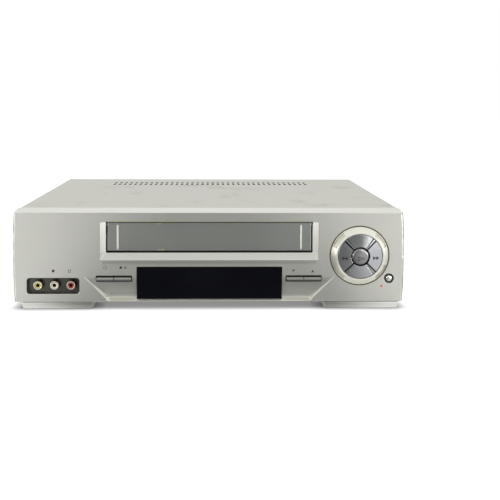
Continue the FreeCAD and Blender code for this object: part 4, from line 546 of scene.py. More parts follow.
@dataclass(frozen=True)
class SilverPaint(Finish):
    """Silver paint on moulded plastic, with fine flakes and dust in its corners."""

    colour: Colour
    metallic: float = 0.7
    roughness: float = 0.3
    flake: float = 0.10
    drift: float = 0.03
    dust: float = 0.5
    dust_reach: float = 1.6

    def dress(self, bench: Bench) -> None:
        """Builds the node tree.

        Args:
            bench: The bench to build on.
        """
        slow = bench.noise(38, 3)
        speck = bench.noise(0.9, 3)
        flake = bench.cells(0.17)
        base = bench.drift(slow, self.colour, 1 - self.drift, 1 + self.drift)
        spread = 1.6 * self.flake
        base = bench.blend(0.5, base, bench.drift(flake, self.colour, 1 - spread, 1 + spread))
        base = bench.blend(speck.held(0.62, 0.8) * 0.12, base, dimmed(self.colour, 0.72))
        corner = bench.crevice(self.dust_reach).held(0.25, 0.85)
        base = bench.blend(corner * self.dust, base, DUST_BROWN)
        base = self.marked(bench, base)
        rough = self.roughness + (slow - 0.5) * 0.12 + corner * 0.2
        relief = bench.noise(0.5, 2) * 0.6 + flake * 0.4
        bench.surface(
            {
                "Base Color": base,
                "Metallic": self.metallic - corner * self.metallic,
                "Roughness": rough,
                "Normal": bench.bump(relief, 0.16, 0.03),
            }
        )


@dataclass(frozen=True)
class CoverPaint(Finish):
    """Painted sheet steel with stains, scuffs and fine scratches."""

    colour: Colour
    metallic: float = 0.35
    roughness: float = 0.45

    def dress(self, bench: Bench) -> None:
        """Builds the node tree.

        Args:
            bench: The bench to build on.
        """
        slow = bench.noise(70, 4)
        base = bench.drift(slow, self.colour, 0.93, 1.05)
        base = bench.blend(0.4, base, bench.drift(bench.cells(0.25), self.colour, 0.86, 1.0))
        long_one = bench.noise(1.6, 1, (60, 1, 1), 32).held(0.665, 0.70)
        long_two = bench.noise(1.3, 1, (45, 1, 1), -24, 3.1).held(0.675, 0.71)
        worn = bench.noise(60, 2, shift=1.7).held(0.42, 0.62)
        scratch = long_one.larger(long_two) * worn
        base = bench.blend(scratch * 0.30, base, dimmed(self.colour, 0.66))
        stain = bench.noise(26, 5, (1, 2.2, 1), shift=5.3).held(0.56, 0.76)
        base = bench.blend(stain * 0.16, base, tone(158, 150, 118))
        base = self.marked(bench, base)
        corner = bench.crevice(2.0).held(0.3, 0.9)
        base = bench.blend(corner * 0.5, base, DUST_BROWN)
        relief = bench.noise(0.7, 3) - scratch * 0.5
        bench.surface(
            {
                "Base Color": base,
                "Metallic": self.metallic - stain * 0.15,
                "Roughness": self.roughness + (slow - 0.5) * 0.14 + stain * 0.12,
                "Normal": bench.bump(relief, 0.2, 0.04),
            }
        )


@dataclass(frozen=True)
class Moulded(Finish):
    """Moulded plastic or rubber with a fine grain."""

    colour: Colour
    roughness: float = 0.5
    grain: float = 0.35
    relief: float = 0.25
    drift: float = 0.12
    dust: float = 0.25

    def dress(self, bench: Bench) -> None:
        """Builds the node tree.

        Args:
            bench: The bench to build on.
        """
        slow = bench.noise(14, 3)
        fine = bench.noise(self.grain, 3)
        base = bench.drift(slow, self.colour, 1 - self.drift, 1 + self.drift)
        base = bench.blend(fine.held(0.5, 0.8) * 0.25, base, dimmed(self.colour, 1.35))
        corner = bench.crevice(2.5).held(0.3, 0.9)
        base = self.marked(bench, bench.blend(corner * self.dust, base, DUST_BROWN))
        bench.surface(
            {
                "Base Color": base,
                "Roughness": self.roughness + (fine - 0.5) * 0.2,
                "Normal": bench.bump(fine, self.relief, 0.05),
            }
        )


@dataclass(frozen=True)
class BareMetal(Finish):
    """Plated, ground or brushed metal."""

    colour: Colour
    roughness: float = 0.3
    brushed: Place = (1, 1, 1)
    mottle: float = 0.08
    tarnish: float = 0.2

    def dress(self, bench: Bench) -> None:
        """Builds the node tree.

        Args:
            bench: The bench to build on.
        """
        slow = bench.noise(9, 4)
        hair = bench.noise(0.4, 2, self.brushed)
        base = bench.drift(slow, self.colour, 1 - self.mottle, 1 + self.mottle)
        corner = bench.crevice(1.5).held(0.3, 0.9)
        base = self.marked(bench, bench.blend(corner * self.tarnish, base, tone(70, 62, 48)))
        bench.surface(
            {
                "Base Color": base,
                "Metallic": 1.0,
                "Roughness": self.roughness + (hair - 0.5) * 0.25 + (slow - 0.5) * 0.1,
                "Normal": bench.bump(hair, 0.12, 0.03),
            }
        )


@dataclass(frozen=True)
class Glazing(Finish):
    """Dark glossy glazing with a thin film and a little dust."""

    colour: Colour
    roughness: float = 0.09
    gloss: float = 0.07

    def dress(self, bench: Bench) -> None:
        """Builds the node tree.

        Args:
            bench: The bench to build on.
        """
        film = bench.noise(22, 5, (2.5, 1, 1))
        speck = bench.noise(0.8, 2).held(0.70, 0.78)
        base = bench.drift(film.held(0.4, 0.8) * 0.5, self.colour, 1.0, 1.7)
        base = bench.blend(speck * 0.05, base, tone(120, 120, 110))
        rough = self.roughness + film.held(0.45, 0.8) * 0.05
        bench.surface(
            {
                "Base Color": base,
                "Roughness": rough,
                "Specular IOR Level": self.gloss,
                "Normal": bench.bump(film, 0.02, 0.05),
            }
        )


@dataclass(frozen=True)
class Laminated(Finish):
    """A stack of thin sheets, seen at their edges."""

    colour: Colour
    pitch: float = 0.7

    def dress(self, bench: Bench) -> None:
        """Builds the node tree.

        Args:
            bench: The bench to build on.
        """
        layer = bench.cells(self.pitch, (400, 1, 400))
        rust = bench.noise(6, 5).held(0.5, 0.75)
        base = bench.drift(layer, self.colour, 0.75, 1.2)
        base = bench.blend(rust * 0.4, base, tone(92, 60, 38))
        bench.surface(
            {
                "Base Color": base,
                "Metallic": 0.7 - rust * 0.5,
                "Roughness": 0.42 + rust * 0.3,
                "Normal": bench.bump(layer, 0.35, 0.08),
            }
        )


@dataclass(frozen=True)
class Lacquer(Finish):
    """Green solder lacquer over copper tracks."""

    colour: Colour

    def dress(self, bench: Bench) -> None:
        """Builds the node tree.

        Args:
            bench: The bench to build on.
        """
        lengthwise = bench.cells(2.4, (14, 1, 14)).held(0.55, 0.6)
        crosswise = bench.cells(2.1, (1, 11, 11)).held(0.6, 0.66)
        track = lengthwise.larger(crosswise)
        base = bench.drift(track, self.colour, 1.0, 1.9)
        pad = bench.noise(1.7, 0).held(0.72, 0.74)
        base = bench.blend(pad, base, tone(190, 186, 170))
        bench.surface(
            {
                "Base Color": base,
                "Metallic": pad * 0.8,
                "Roughness": 0.32 + track * 0.08,
                "Normal": bench.bump(track + pad, 0.4, 0.06),
            }
        )


@dataclass(frozen=True)
class Ink(Finish):
    """Printed ink, a little worn."""

    colour: Colour

    def dress(self, bench: Bench) -> None:
        """Builds the node tree.

        Args:
            bench: The bench to build on.
        """
        worn = bench.noise(0.8, 3).held(0.45, 0.8)
        base = bench.drift(worn * 0.35, self.colour, 1.0, 1.8)
        bench.surface({"Base Color": base, "Roughness": 0.55 + worn * 0.15})


@dataclass(frozen=True)
class Ground(Finish):
    """White studio floor with the object's soft shadow, mostly painted and partly real.

    It fades to plain white between two distances from its middle, in metres,
    and its painted shadow darkens where something stands nearer than contact, in millimetres.
    """

    plain_from: float = 0.5
    plain_at: float = 0.9
    contact: float = 12.0
    paper: float = 0.86
    mirror_share: float = 0.55
    shown_share: float = 0.78
    shown_glow: float = 1.25
    shadow_power: float = 1.4

    def dress(self, bench: Bench) -> None:
        """Builds the node tree.

        Args:
            bench: The bench to build on.
        """
        right, back, _ = bench.across()
        away = (right * right + back * back) ** 0.5
        far = away.held(self.plain_from, self.plain_at)
        paper = bench.noise(30, 3) * 0.01
        diffuse = bench.node(
            "ShaderNodeBsdfDiffuse", {}, {"Color": (*[self.paper] * 3, 1.0), "Roughness": 0.0}
        )
        share = bench.ray("Glossy").larger(bench.ray("Transmission"))
        share = share * (far.larger(self.mirror_share) + paper)
        mirrored = bench.fade(share, diffuse, bench.glow(1, 1.0))
        # Painted shadow: the glow that the camera sees dims where the machine stands near.
        near = bench.node(
            "ShaderNodeAmbientOcclusion", {"samples": 12}, {"Distance": self.contact * MM}, "AO"
        )
        lit = bench.glow(1, self.shown_glow)
        lit = bench.fade(near**self.shadow_power, bench.glow(0, 0.0), lit)
        # Near the machine this painted shadow makes most of the floor's look, a real shadow the
        # rest.
        plain = bench.fade(far.larger(self.shown_share), diffuse, lit)
        shown = bench.fade(bench.ray("Camera"), mirrored, plain)
        bench.node("ShaderNodeOutputMaterial", {}, {"Surface": shown})


box_mark = partial(Mark, MarkShape.BOX)
ring_mark = partial(Mark, MarkShape.RING)
line_mark = partial(Mark, MarkShape.LINE)


def smudge(x: float, y: float, wide: float, deep: float, strength: float) -> Mark:
    """Describes a brown stain on the cover by its middle, half sizes and strength."""
    colour = tone(150, 138, 100)
    return box_mark((x, y, 97), (wide, deep, 4), wide * 0.7, colour, strength * 0.8, 14)


def socket_core(title: str, colour: Colour, x: float) -> Moulded:
    """Describes the coloured core of a front socket at x, with painted shade in its hole."""
    hole = ring_mark((x, 0, 23.2), (0.85, 0.85, 0), 0.12, SHADE, 0.98)
    return Moulded(title, colour, 0.4, drift=0.05, marks=(hole,))


class Finishes:
    """The finishes of the machine, by plain names."""

    fascia = SilverPaint(
        "silver_front",
        tone(200, 200, 193),
        marks=(
            # A yellowish line along the top edge of the tape mouth.
            box_mark((0, -145, 85.45), (100.3, 3, 0.5), 0.12, YELLOW_TINT, 0.7),
            box_mark((0, -136.4, 70), (101.2, 4.5, 16.2), 0.12, SHADE, 0.97),
            box_mark((103.4, -142.4, 70), (3.0, 1.8, 15.4), 0.15, BEZEL_SHADE, 0.32),
            box_mark((0, -142.4, 51.0), (106.0, 1.8, 3.6), 0.15, BEZEL_SHADE, 0.15),
            box_mark((0, -144.5, 45.5), (104, 1.5, 1.6), 1.4, BEZEL_SHADE, 0.4),
            # Painted shade inside the socket pocket.
            box_mark((-151.3, -139.9, 22.6), (25.8, 3.9, 8.1), 0.2, POCKET_SHADE, 0.92),
            box_mark((-92.6, -138, 29.45), (17.45, 8, 3.2), 0.12, SHADE, 0.95),
            box_mark((91.8, -138, 29.45), (17.45, 8, 3.2), 0.12, SHADE, 0.95),
            ring_mark((175.4, 0, 29.6), (3.9, 0.9, 0), 0.12, SHADE, 0.92),
            # Painted shade, olive tinted, in the groove round the keypad.
            ring_mark((146.3, 0, 52), (28.8, 0.5, 0), 0.15, tone(96, 82, 46), 0.9),
            # Painted highlights along the slanted edges of the lower panel.
            line_mark((-110.95, 0, 21.05), (14.6, 0.45, -44.4), 0.25, PAINTED_HIGHLIGHT, 0.85),
            line_mark((110.95, 0, 21.05), (14.6, 0.45, 44.4), 0.25, PAINTED_HIGHLIGHT, 0.85),
            box_mark((0, -141, 13.8), (97, 6, 2.0), 1.2, BEZEL_SHADE, 0.35),
            # Painted highlight on the upward-facing sill below the panel.
            box_mark((0, -142, 9.1), (100.5, 6, 1.9), 0.3, PAINTED_HIGHLIGHT, 0.8),
            box_mark((0, -143, 9.7), (71, 3, 0.8), 0.3, SHADE, 0.6),
            box_mark((0, -142, 7.0), (100.5, 6, 0.4), 0.3, SHADE, 0.6),
            ring_mark((485, 0, 52.5), (675.4, 1.2, 0), 0.5, SIDE_SHADE, 0.6),
            ring_mark((-485, 0, 52.5), (675.4, 1.2, 0), 0.5, SIDE_SHADE, 0.6),
            # Painted highlight lines along the rounded sides of the front.
            ring_mark((485, 0, 52.5), (673.5, 0.35, 0), 0.3, PAINTED_HIGHLIGHT, 0.4),
            ring_mark((-485, 0, 52.5), (673.5, 0.35, 0), 0.3, PAINTED_HIGHLIGHT, 0.4),
        ),
    )
    flap = SilverPaint(
        "flap_grey",
        tone(151, 153, 149),
        roughness=0.36,
        dust=0.3,
        marks=(
            box_mark((0, -138, 55.9), (104, 5, 0.4), 0.12, SHADE, 0.9),
            # Two small worn spots on the flap.
            box_mark((-49.4, -142, 82.6), (2.6, 4, 0.5), 0.35, YELLOW_TINT, 0.8),
            box_mark((-47.4, -142, 57.3), (3.2, 4, 0.6), 0.35, YELLOW_TINT, 0.9),
            # Painted highlights on the flap's two ribs.
            box_mark((-89.3, -142, 69.5), (0.75, 4, 12), 0.15, PAINTED_HIGHLIGHT, 0.95),
            box_mark((89.3, -142, 69.5), (0.75, 4, 12), 0.15, PAINTED_HIGHLIGHT, 0.95),
            # Painted highlights along the flap's side edges, stronger on the right.
            box_mark((-99.0, -142, 70), (0.4, 4, 14), 0.15, PAINTED_HIGHLIGHT, 0.5),
            box_mark((99.0, -142, 70), (0.4, 4, 14), 0.15, PAINTED_HIGHLIGHT, 0.9),
        ),
    )
    key = SilverPaint(
        "key_silver",
        tone(128, 128, 124),
        dust=0.35,
        dust_reach=0.8,
        marks=(
            box_mark((0, -139, 0), (0, 6.4, 0), 0.3, SHADE, 0.92),
            # Painted highlight along the keys' upper edge.
            box_mark((0, -148, 30.4), (0, 3, 0.35), 0.3, PAINTED_HIGHLIGHT, 0.25),
            box_mark((0, -148, 28.0), (0, 3, 0.8), 0.5, SHADE, 0.5),
        ),
    )
    play = SilverPaint(
        "play_silver",
        tone(146, 147, 146),
        metallic=0.85,
        roughness=0.27,
        dust=0.3,
        marks=(box_mark((0, -139, 0), (0, 9.9, 0), 0.2, SHADE, 0.95),),
    )
    ring = SilverPaint(
        "dial_silver",
        tone(222, 221, 210),
        metallic=0.35,
        roughness=0.38,
        dust=0.4,
        marks=(
            box_mark((0, -139, 0), (0, 5.2, 0), 0.3, SHADE, 0.92),
            # Painted shade on the left and right sides of the keypad ring, stronger on the left.
            box_mark((119, 0, 52), (4.5, 0, 16), 5, tone(128, 126, 117), 0.8),
            box_mark((174, 0, 52), (4.5, 0, 16), 5, tone(128, 126, 117), 0.45),
            # Painted shade on the floors of the four finger recesses.
            Mark(MarkShape.ARCS, (146.3, 0, 52), (25.85, 1.55, 37), 0.12, tone(178, 174, 156), 0.6),
        ),
    )
    ring_key = SilverPaint(
        "dial_key",
        tone(188, 190, 191),
        metallic=0.95,
        roughness=0.18,
        dust=0.3,
        marks=(
            box_mark((0, -139, 0), (0, 9.4, 0), 0.25, SHADE, 0.95),
            line_mark((146.3, 0, 52), (23, 0.75, 45), 0.15, SHADE, 0.95),
            line_mark((146.3, 0, 52), (23, 0.75, -45), 0.15, SHADE, 0.95),
        ),
    )
    foot = SilverPaint(
        "foot_silver",
        tone(224, 225, 220),
        metallic=0.85,
        roughness=0.3,
        flake=0.05,
        marks=(
            # Painted shade, darker towards the inner ends of the feet.
            box_mark((0, 0, 0), (145, 0, 0), 38, tone(100, 98, 92), 0.72),
            box_mark((0, -130, 0), (114.0, 12.7, 0), 0.4, SHADE, 0.9),
        ),
    )
    cover = CoverPaint(
        "cover_paint",
        tone(204, 203, 194),
        marks=(
            box_mark((0, 90, 96.7), (125, 24, 0.7), 0.06, SHADE, 0.96),
            smudge(23, -30, 14, 30, 0.45),
            smudge(47, 30, 20, 24, 0.35),
            smudge(92, -92, 8, 22, 0.36),
            smudge(114, -112, 12, 14, 0.4),
            smudge(176, -118, 10, 12, 0.35),
            smudge(-172, -112, 10, 16, 0.38),
            smudge(-80, -126, 14, 6, 0.25),
            box_mark((0, -137, 97), (190, 2.2, 3), 1.0, tone(150, 142, 112), 0.4, 12),
        ),
    )
    glazing = Glazing("dark_glazing", (0.0034, 0.0036, 0.0052, 1.0))
    tube = Glazing("tube_glass", (0.01, 0.02, 0.018, 1.0), 0.05)
    black = Moulded("black_moulding", tone(34, 33, 31), 0.45)
    rubber = Moulded("foot_rubber", tone(40, 39, 37), 0.75, 0.5, 0.5)
    tyre = Moulded("roller_rubber", tone(30, 29, 29), 0.6, 0.3, 0.4)
    deck_plastic = Moulded("deck_plastic", tone(46, 45, 46), 0.42)
    worm_plastic = Moulded("worm_plastic", tone(214, 206, 180), 0.4, drift=0.05)
    yellow = socket_core("yellow_core", tone(184, 170, 84), -166.0)
    white = socket_core("white_core", SOCKET_WHITE, -150.1)
    red = socket_core("red_core", SOCKET_RED, -134.2)
    white_ring = Moulded("white_washer", SOCKET_WHITE, 0.45, drift=0.05)
    red_ring = Moulded("red_washer", SOCKET_RED, 0.45, drift=0.05)
    nickel = BareMetal("nickel", tone(222, 216, 198), 0.24)
    front_nickel = BareMetal(
        "front_nickel",
        tone(222, 216, 198),
        0.3,
        marks=(box_mark((-150.1, -137, 23.2), (30, 6.2, 20), 0.8, SHADE, 0.85),),
    )
    screw = BareMetal("screw_steel", tone(150, 146, 136), 0.3)
    zinc = BareMetal("zinc_steel", tone(176, 176, 170), 0.4, (1, 6, 1), 0.12)
    aluminium = BareMetal("aluminium", tone(200, 201, 203), 0.34, (8, 1, 1))
    guide_steel = BareMetal("guide_steel", tone(214, 214, 212), 0.16, (1, 1, 12))
    head_alloy = BareMetal("head_alloy", tone(206, 205, 200), 0.2, (1, 1, 0.2))
    chrome = BareMetal("polished_dome", tone(222, 220, 210), 0.14)
    iron = Laminated("transformer_iron", tone(96, 94, 92))
    board = Lacquer("board_green", tone(30, 84, 50))
    ink = Ink("grey_ink", tone(48, 50, 52))
    black_ink = Ink("black_ink", tone(20, 21, 22))
    red_ink = Ink("red_ink", tone(214, 70, 56))
    ground = Ground("studio_floor")


def present(finish: Finish, *nodes: str) -> None:
    """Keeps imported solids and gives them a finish.

    Args:
        finish: Their finish.
        *nodes: The solids' nodes.
    """
    for node in nodes:
        data = frame["nodes"][node].data
        if not data.materials:
            data.materials.append(None)
        for index in range(len(data.materials)):
            data.materials[index] = finish.material()
        LOG.info("kept %s in %s", node, finish.title)


def body_of(node: str) -> str:
    """Returns the body that a node rides on."""
    return frame["nodes"][node]["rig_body"]


def placed(name: str, data: bpy.types.ID) -> bpy.types.Object:
    """Puts an object with this data into the scene."""
    made = bpy.data.objects.new(name, data)
    bpy.context.scene.collection.objects.link(made)
    return made


def piece(
    name: str,
    mesh: bpy.types.Mesh,
    finish: Finish,
    body: str,
    stands_for: Iterable[str] = (),
) -> bpy.types.Object:
    """Puts a mesh into the scene as a piece of the machine.

    Args:
        name: The piece's name.
        mesh: Its mesh, in place.
        finish: Its finish.
        body: The body it rides on.
        stands_for: The nodes it replaces.

    Returns:
        The piece.
    """
    mesh.materials.clear()
    mesh.materials.append(finish.material())
    made = placed(name, mesh)
    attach(made, body)
    for node in stands_for:
        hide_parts(node)
    LOG.info("built %s: %d faces, rides on %s", name, len(mesh.polygons), body)
    return made


def ended(name: str, shape: bmesh.types.BMesh, outwards: bool = False) -> bpy.types.Mesh:
    """Ends the work on a shape and turns it into a mesh.

    Args:
        name: The mesh's name.
        shape: The shape, which is freed.
        outwards: Whether its faces are first turned outwards.

    Returns:
        The mesh.
    """
    if outwards:
        bmesh.ops.recalc_face_normals(shape, faces=shape.faces)
    mesh = bpy.data.meshes.new(name)
    shape.to_mesh(mesh)
    shape.free()
    return mesh


def bridge(
    shape: bmesh.types.BMesh, near: Sequence[bmesh.types.BMVert], far: Sequence[bmesh.types.BMVert]
) -> None:
    """Joins two closed rows of corners with faces.

    Args:
        shape: The shape that they belong to.
        near: The first row; a single corner stands for a row on the axis.
        far: The second row, with as many corners or a single one.
    """
    for index in range(max(len(near), len(far))):
        after = index + 1
        corners = [near[index % len(near)], near[after % len(near)]]
        corners += [far[after % len(far)], far[index % len(far)]]
        unique = list(dict.fromkeys(corners))
        if len(unique) > 2:
            shape.faces.new(unique)


def smooth(mesh: bpy.types.Mesh, angle: float = 32) -> None:
    """Shades a mesh smoothly, save for edges above an angle in degrees."""
    mesh.shade_smooth()
    mesh.set_sharp_from_angle(angle=math.radians(angle))


def softened(
    name: str,
    node: str,
    finish: Finish,
    width: float,
    angle: float = 28,
    work: Callable[[bmesh.types.BMesh], None] | None = None,
) -> bpy.types.Object:
    """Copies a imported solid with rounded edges, and puts it in its place.

    Args:
        name: The piece's name.
        node: The solid's node.
        finish: The piece's finish.
        width: Width of the rounded edges.
        angle: Edges above this angle are rounded, in degrees.
        work: Further shaping of the mesh before its edges are rounded.

    Returns:
        The piece.
    """
    shape = bmesh.new()
    shape.from_mesh(frame["nodes"][node].data)
    bmesh.ops.remove_doubles(shape, verts=shape.verts, dist=WELD * MM)
    bmesh.ops.dissolve_limit(
        shape, angle_limit=math.radians(FLAT_ANGLE), verts=shape.verts, edges=shape.edges
    )
    if work is not None:
        work(shape)
    mesh = ended(f"{name}_sharp", shape)
    low = [min(corner.co[axis] for corner in mesh.vertices) for axis in range(3)]
    high = [max(corner.co[axis] for corner in mesh.vertices) for axis in range(3)]
    if "custom_normal" in mesh.attributes:
        mesh.attributes.remove(mesh.attributes["custom_normal"])
    smooth(mesh, angle)
    sharp = placed(f"{name}_sharp", mesh)
    rounding = sharp.modifiers.new("rounded_edges", "BEVEL")
    rounding.width = width * MM
    rounding.segments = ROUND_STEPS
    rounding.limit_method = "ANGLE"
    rounding.angle_limit = math.radians(angle)
    rounding.use_clamp_overlap = False
    rounding.miter_outer = "MITER_SHARP"
    shading = sharp.modifiers.new("even_shading", "WEIGHTED_NORMAL")
    shading.weight = SHADING_WEIGHT
    bpy.context.view_layer.update()
    graph = bpy.context.evaluated_depsgraph_get()
    worked = sharp.evaluated_get(graph)
    rounded = bpy.data.meshes.new_from_object(
        worked, preserve_all_data_layers=True, depsgraph=graph
    )
    rounded.name = name
    for corner in rounded.vertices:
        for axis in range(3):
            corner.co[axis] = min(max(corner.co[axis], low[axis]), high[axis])
    bpy.data.objects.remove(sharp)
    return piece(name, rounded, finish, body_of(node), (node,))


def turned(
    name: str,
    profile: Sequence[Pair],
    middle: Place,
    axis: Place,
    steps: int = 64,
    closed: bool = False,
) -> bpy.types.Mesh:
    """Turns a profile round an axis.

    Args:
        name: The mesh's name.
        profile: Points (radius, distance along the axis), from front to back.
        middle: The point of the axis that has distance 0.
        axis: Direction of the axis.
        steps: Faces round the axis.
        closed: Whether the profile is a closed loop, for a ring.

    Returns:
        The mesh.
    """
    shape = bmesh.new()
    along = Vector(axis).normalized()
    aside = along.orthogonal().normalized()
    up = along.cross(aside)
    start = Vector(middle)
    rings = []
    for radius, distance in profile:
        spot = start + along * distance
        ring = []
        for index in range(steps if radius else 1):
            turn = math.tau * index / steps
            edge = aside * math.cos(turn) + up * math.sin(turn)
            ring.append(shape.verts.new((spot + edge * radius) * MM))
        rings.append(ring)
    pairs = list(zip(rings, rings[1:], strict=False))
    if closed:
        pairs.append((rings[-1], rings[0]))
    for near, far in pairs:
        bridge(shape, near, far)
    mesh = ended(name, shape, outwards=True)
    smooth(mesh)
    return mesh


def stamped(
    name: str,
    outlines: Iterable[Sequence[Pair]],
    at: Pair,
    carrier: bpy.types.Object,
    finish: Finish,
) -> bpy.types.Object:
    """Prints a symbol on the front of a piece, seen from the front.

    Args:
        name: The piece's name.
        outlines: Flat outlines (right, up) about the symbol's middle.
        at: The middle (x, z) on the front.
        carrier: The piece that carries the symbol.
        finish: The ink.

    Returns:
        The piece.
    """
    ground = carrier.data
    corners = [vertex.co for vertex in ground.vertices]
    tree = BVHTree.FromPolygons(corners, [face.vertices for face in ground.polygons])
    start = Vector((at[0], IN_FRONT, at[1])) * MM
    spot, normal, _, _ = tree.ray_cast(start, Vector((0, 1, 0)))
    if spot is None:
        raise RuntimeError(f"nothing of {carrier.name} lies behind {name}")
    if normal.y > 0:
        normal = -normal
    right = (Vector((1, 0, 0)) - normal * normal.x).normalized()
    up = right.cross(normal)
    up = up if up.z > 0 else -up
    shape = bmesh.new()
    for outline in outlines:
        rows = []
        for lift in (INK_SUNK, INK_THICK):
            row = [
                shape.verts.new(spot + right * x * MM + up * z * MM + normal * lift * MM)
                for x, z in outline
            ]
            rows.append(row)
        shape.faces.new(rows[1])
        shape.faces.new(rows[0][::-1])
        bridge(shape, *rows)
    return piece(name, ended(name, shape, outwards=True), finish, carrier["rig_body"])


def arc_band(inner: float, outer: float, first: float, last: float) -> list[Pair]:
    """Outlines a flat arc.

    Args:
        inner: Inner radius.
        outer: Outer radius.
        first: First angle in degrees.
        last: Last angle in degrees.

    Returns:
        The outline.
    """
    turns = [math.radians(first + (last - first) * i / ARC_STEPS) for i in range(ARC_STEPS + 1)]
    out = [(outer * math.cos(t), outer * math.sin(t)) for t in turns]
    back = [(inner * math.cos(t), inner * math.sin(t)) for t in reversed(turns)]
    return out + back


def bar(half_wide: float, half_high: float, z: float = 0.0, x: float = 0.0) -> list[Pair]:
    """Outlines a bar or a square with its middle z above and x right of the symbol's."""
    left, right, low, high = x - half_wide, x + half_wide, z - half_high, z + half_high
    return [(left, low), (right, low), (right, high), (left, high)]


def pointer(wide: float, high: float, z: float) -> list[Pair]:
    """Outlines a triangle that points up, or down with a height below 0, from its side at z."""
    return [(-wide / 2, z), (wide / 2, z), (0.0, z + high)]


def arrow(length: float, high: float, x: float = 0.0, facing: int = 1) -> list[Pair]:
    """Outlines a triangle that points right, or left with facing -1."""
    back, tip = x - facing * length / 2, x + facing * length / 2
    return [(back, -high / 2), (tip, 0.0), (back, high / 2)]


@dataclass
class FrontMoulding:
    """The front with its flap, window and printed signs."""

    soft_edge: float = 0.35
    flap_edge: float = 0.3
    corner_turns: tuple[float, ...] = (15, 30, 45, 60, 75)
    corner_round: float = 5.5
    corner_at: Pair = (183.1, 92.5)

    def build(self) -> None:
        """Builds and dresses the front."""
        finish = Finishes
        front = softened(
            "front_moulding",
            "fascia",
            finish.fascia,
            self.soft_edge,
            work=self.round_corners,
        )
        softened("tape_flap", "cassette_flap", finish.flap, self.flap_edge)
        softened("display_glazing", "display_window", finish.glazing, 0.3)
        self.print_signs(front)

    def round_corners(self, shape: bmesh.types.BMesh) -> None:
        """Rounds the two upper corners of the front, seen from the front.

        Args:
            shape: The front's mesh.
        """
        for side in (-1, 1):
            for turn in self.corner_turns:
                rise = math.radians(turn)
                out = Vector((side * math.cos(rise), 0, math.sin(rise)))
                across, high = self.corner_at
                middle = Vector((side * across, 0, high)) + out * self.corner_round
                cut = bmesh.ops.bisect_plane(
                    shape,
                    geom=shape.verts[:] + shape.edges[:] + shape.faces[:],
                    plane_co=middle * MM,
                    plane_no=out,
                    clear_outer=True,
                )
                edges = [part for part in cut["geom_cut"] if isinstance(part, bmesh.types.BMEdge)]
                bmesh.ops.holes_fill(shape, edges=edges, sides=0)

    def print_signs(self, front: bpy.types.Object) -> None:
        """Prints the plain signs on the front.

        Args:
            front: The front moulding.
        """
        ink = Finishes.ink
        standby = [arc_band(1.25, 1.6, 0, 180), arc_band(1.25, 1.6, 180, 360)]
        eject = [pointer(2.4, 1.4, -0.1), bar(1.2, 0.25, -0.85)]
        sound = [bar(1.3, 0.2, 1.2), bar(1.3, 0.2, -1.2)]
        sound += [bar(0.2, 1.0, 0, -1.1), bar(0.2, 1.0, 0, 1.1)]
        dot = [arc_band(0, 1.1, 0, 360)[:-1]]
        for name, outlines, at, paint in (
            ("standby_sign", standby, (-101.2, 40.4), ink),
            ("stop_sign", [bar(1.15, 1.15)], (-86.0, 40.5), ink),
            ("eject_sign", eject, (-81.6, 40.5), ink),
            ("down_sign", [pointer(2.4, -2.4, 1.2)], (81.8, 37.1), ink),
            ("up_sign", [pointer(2.6, 2.6, -1.2)], (100.5, 36.8), ink),
            ("left_sound_sign", [bar(1.25, 1.25)], (-151.1, 37.3), ink),
            ("right_sound_sign", sound, (-135.5, 37.1), ink),
            ("record_dot", dot, (168.1, 22.1), Finishes.red_ink),
        ):
            stamped(name, outlines, at, front, paint)


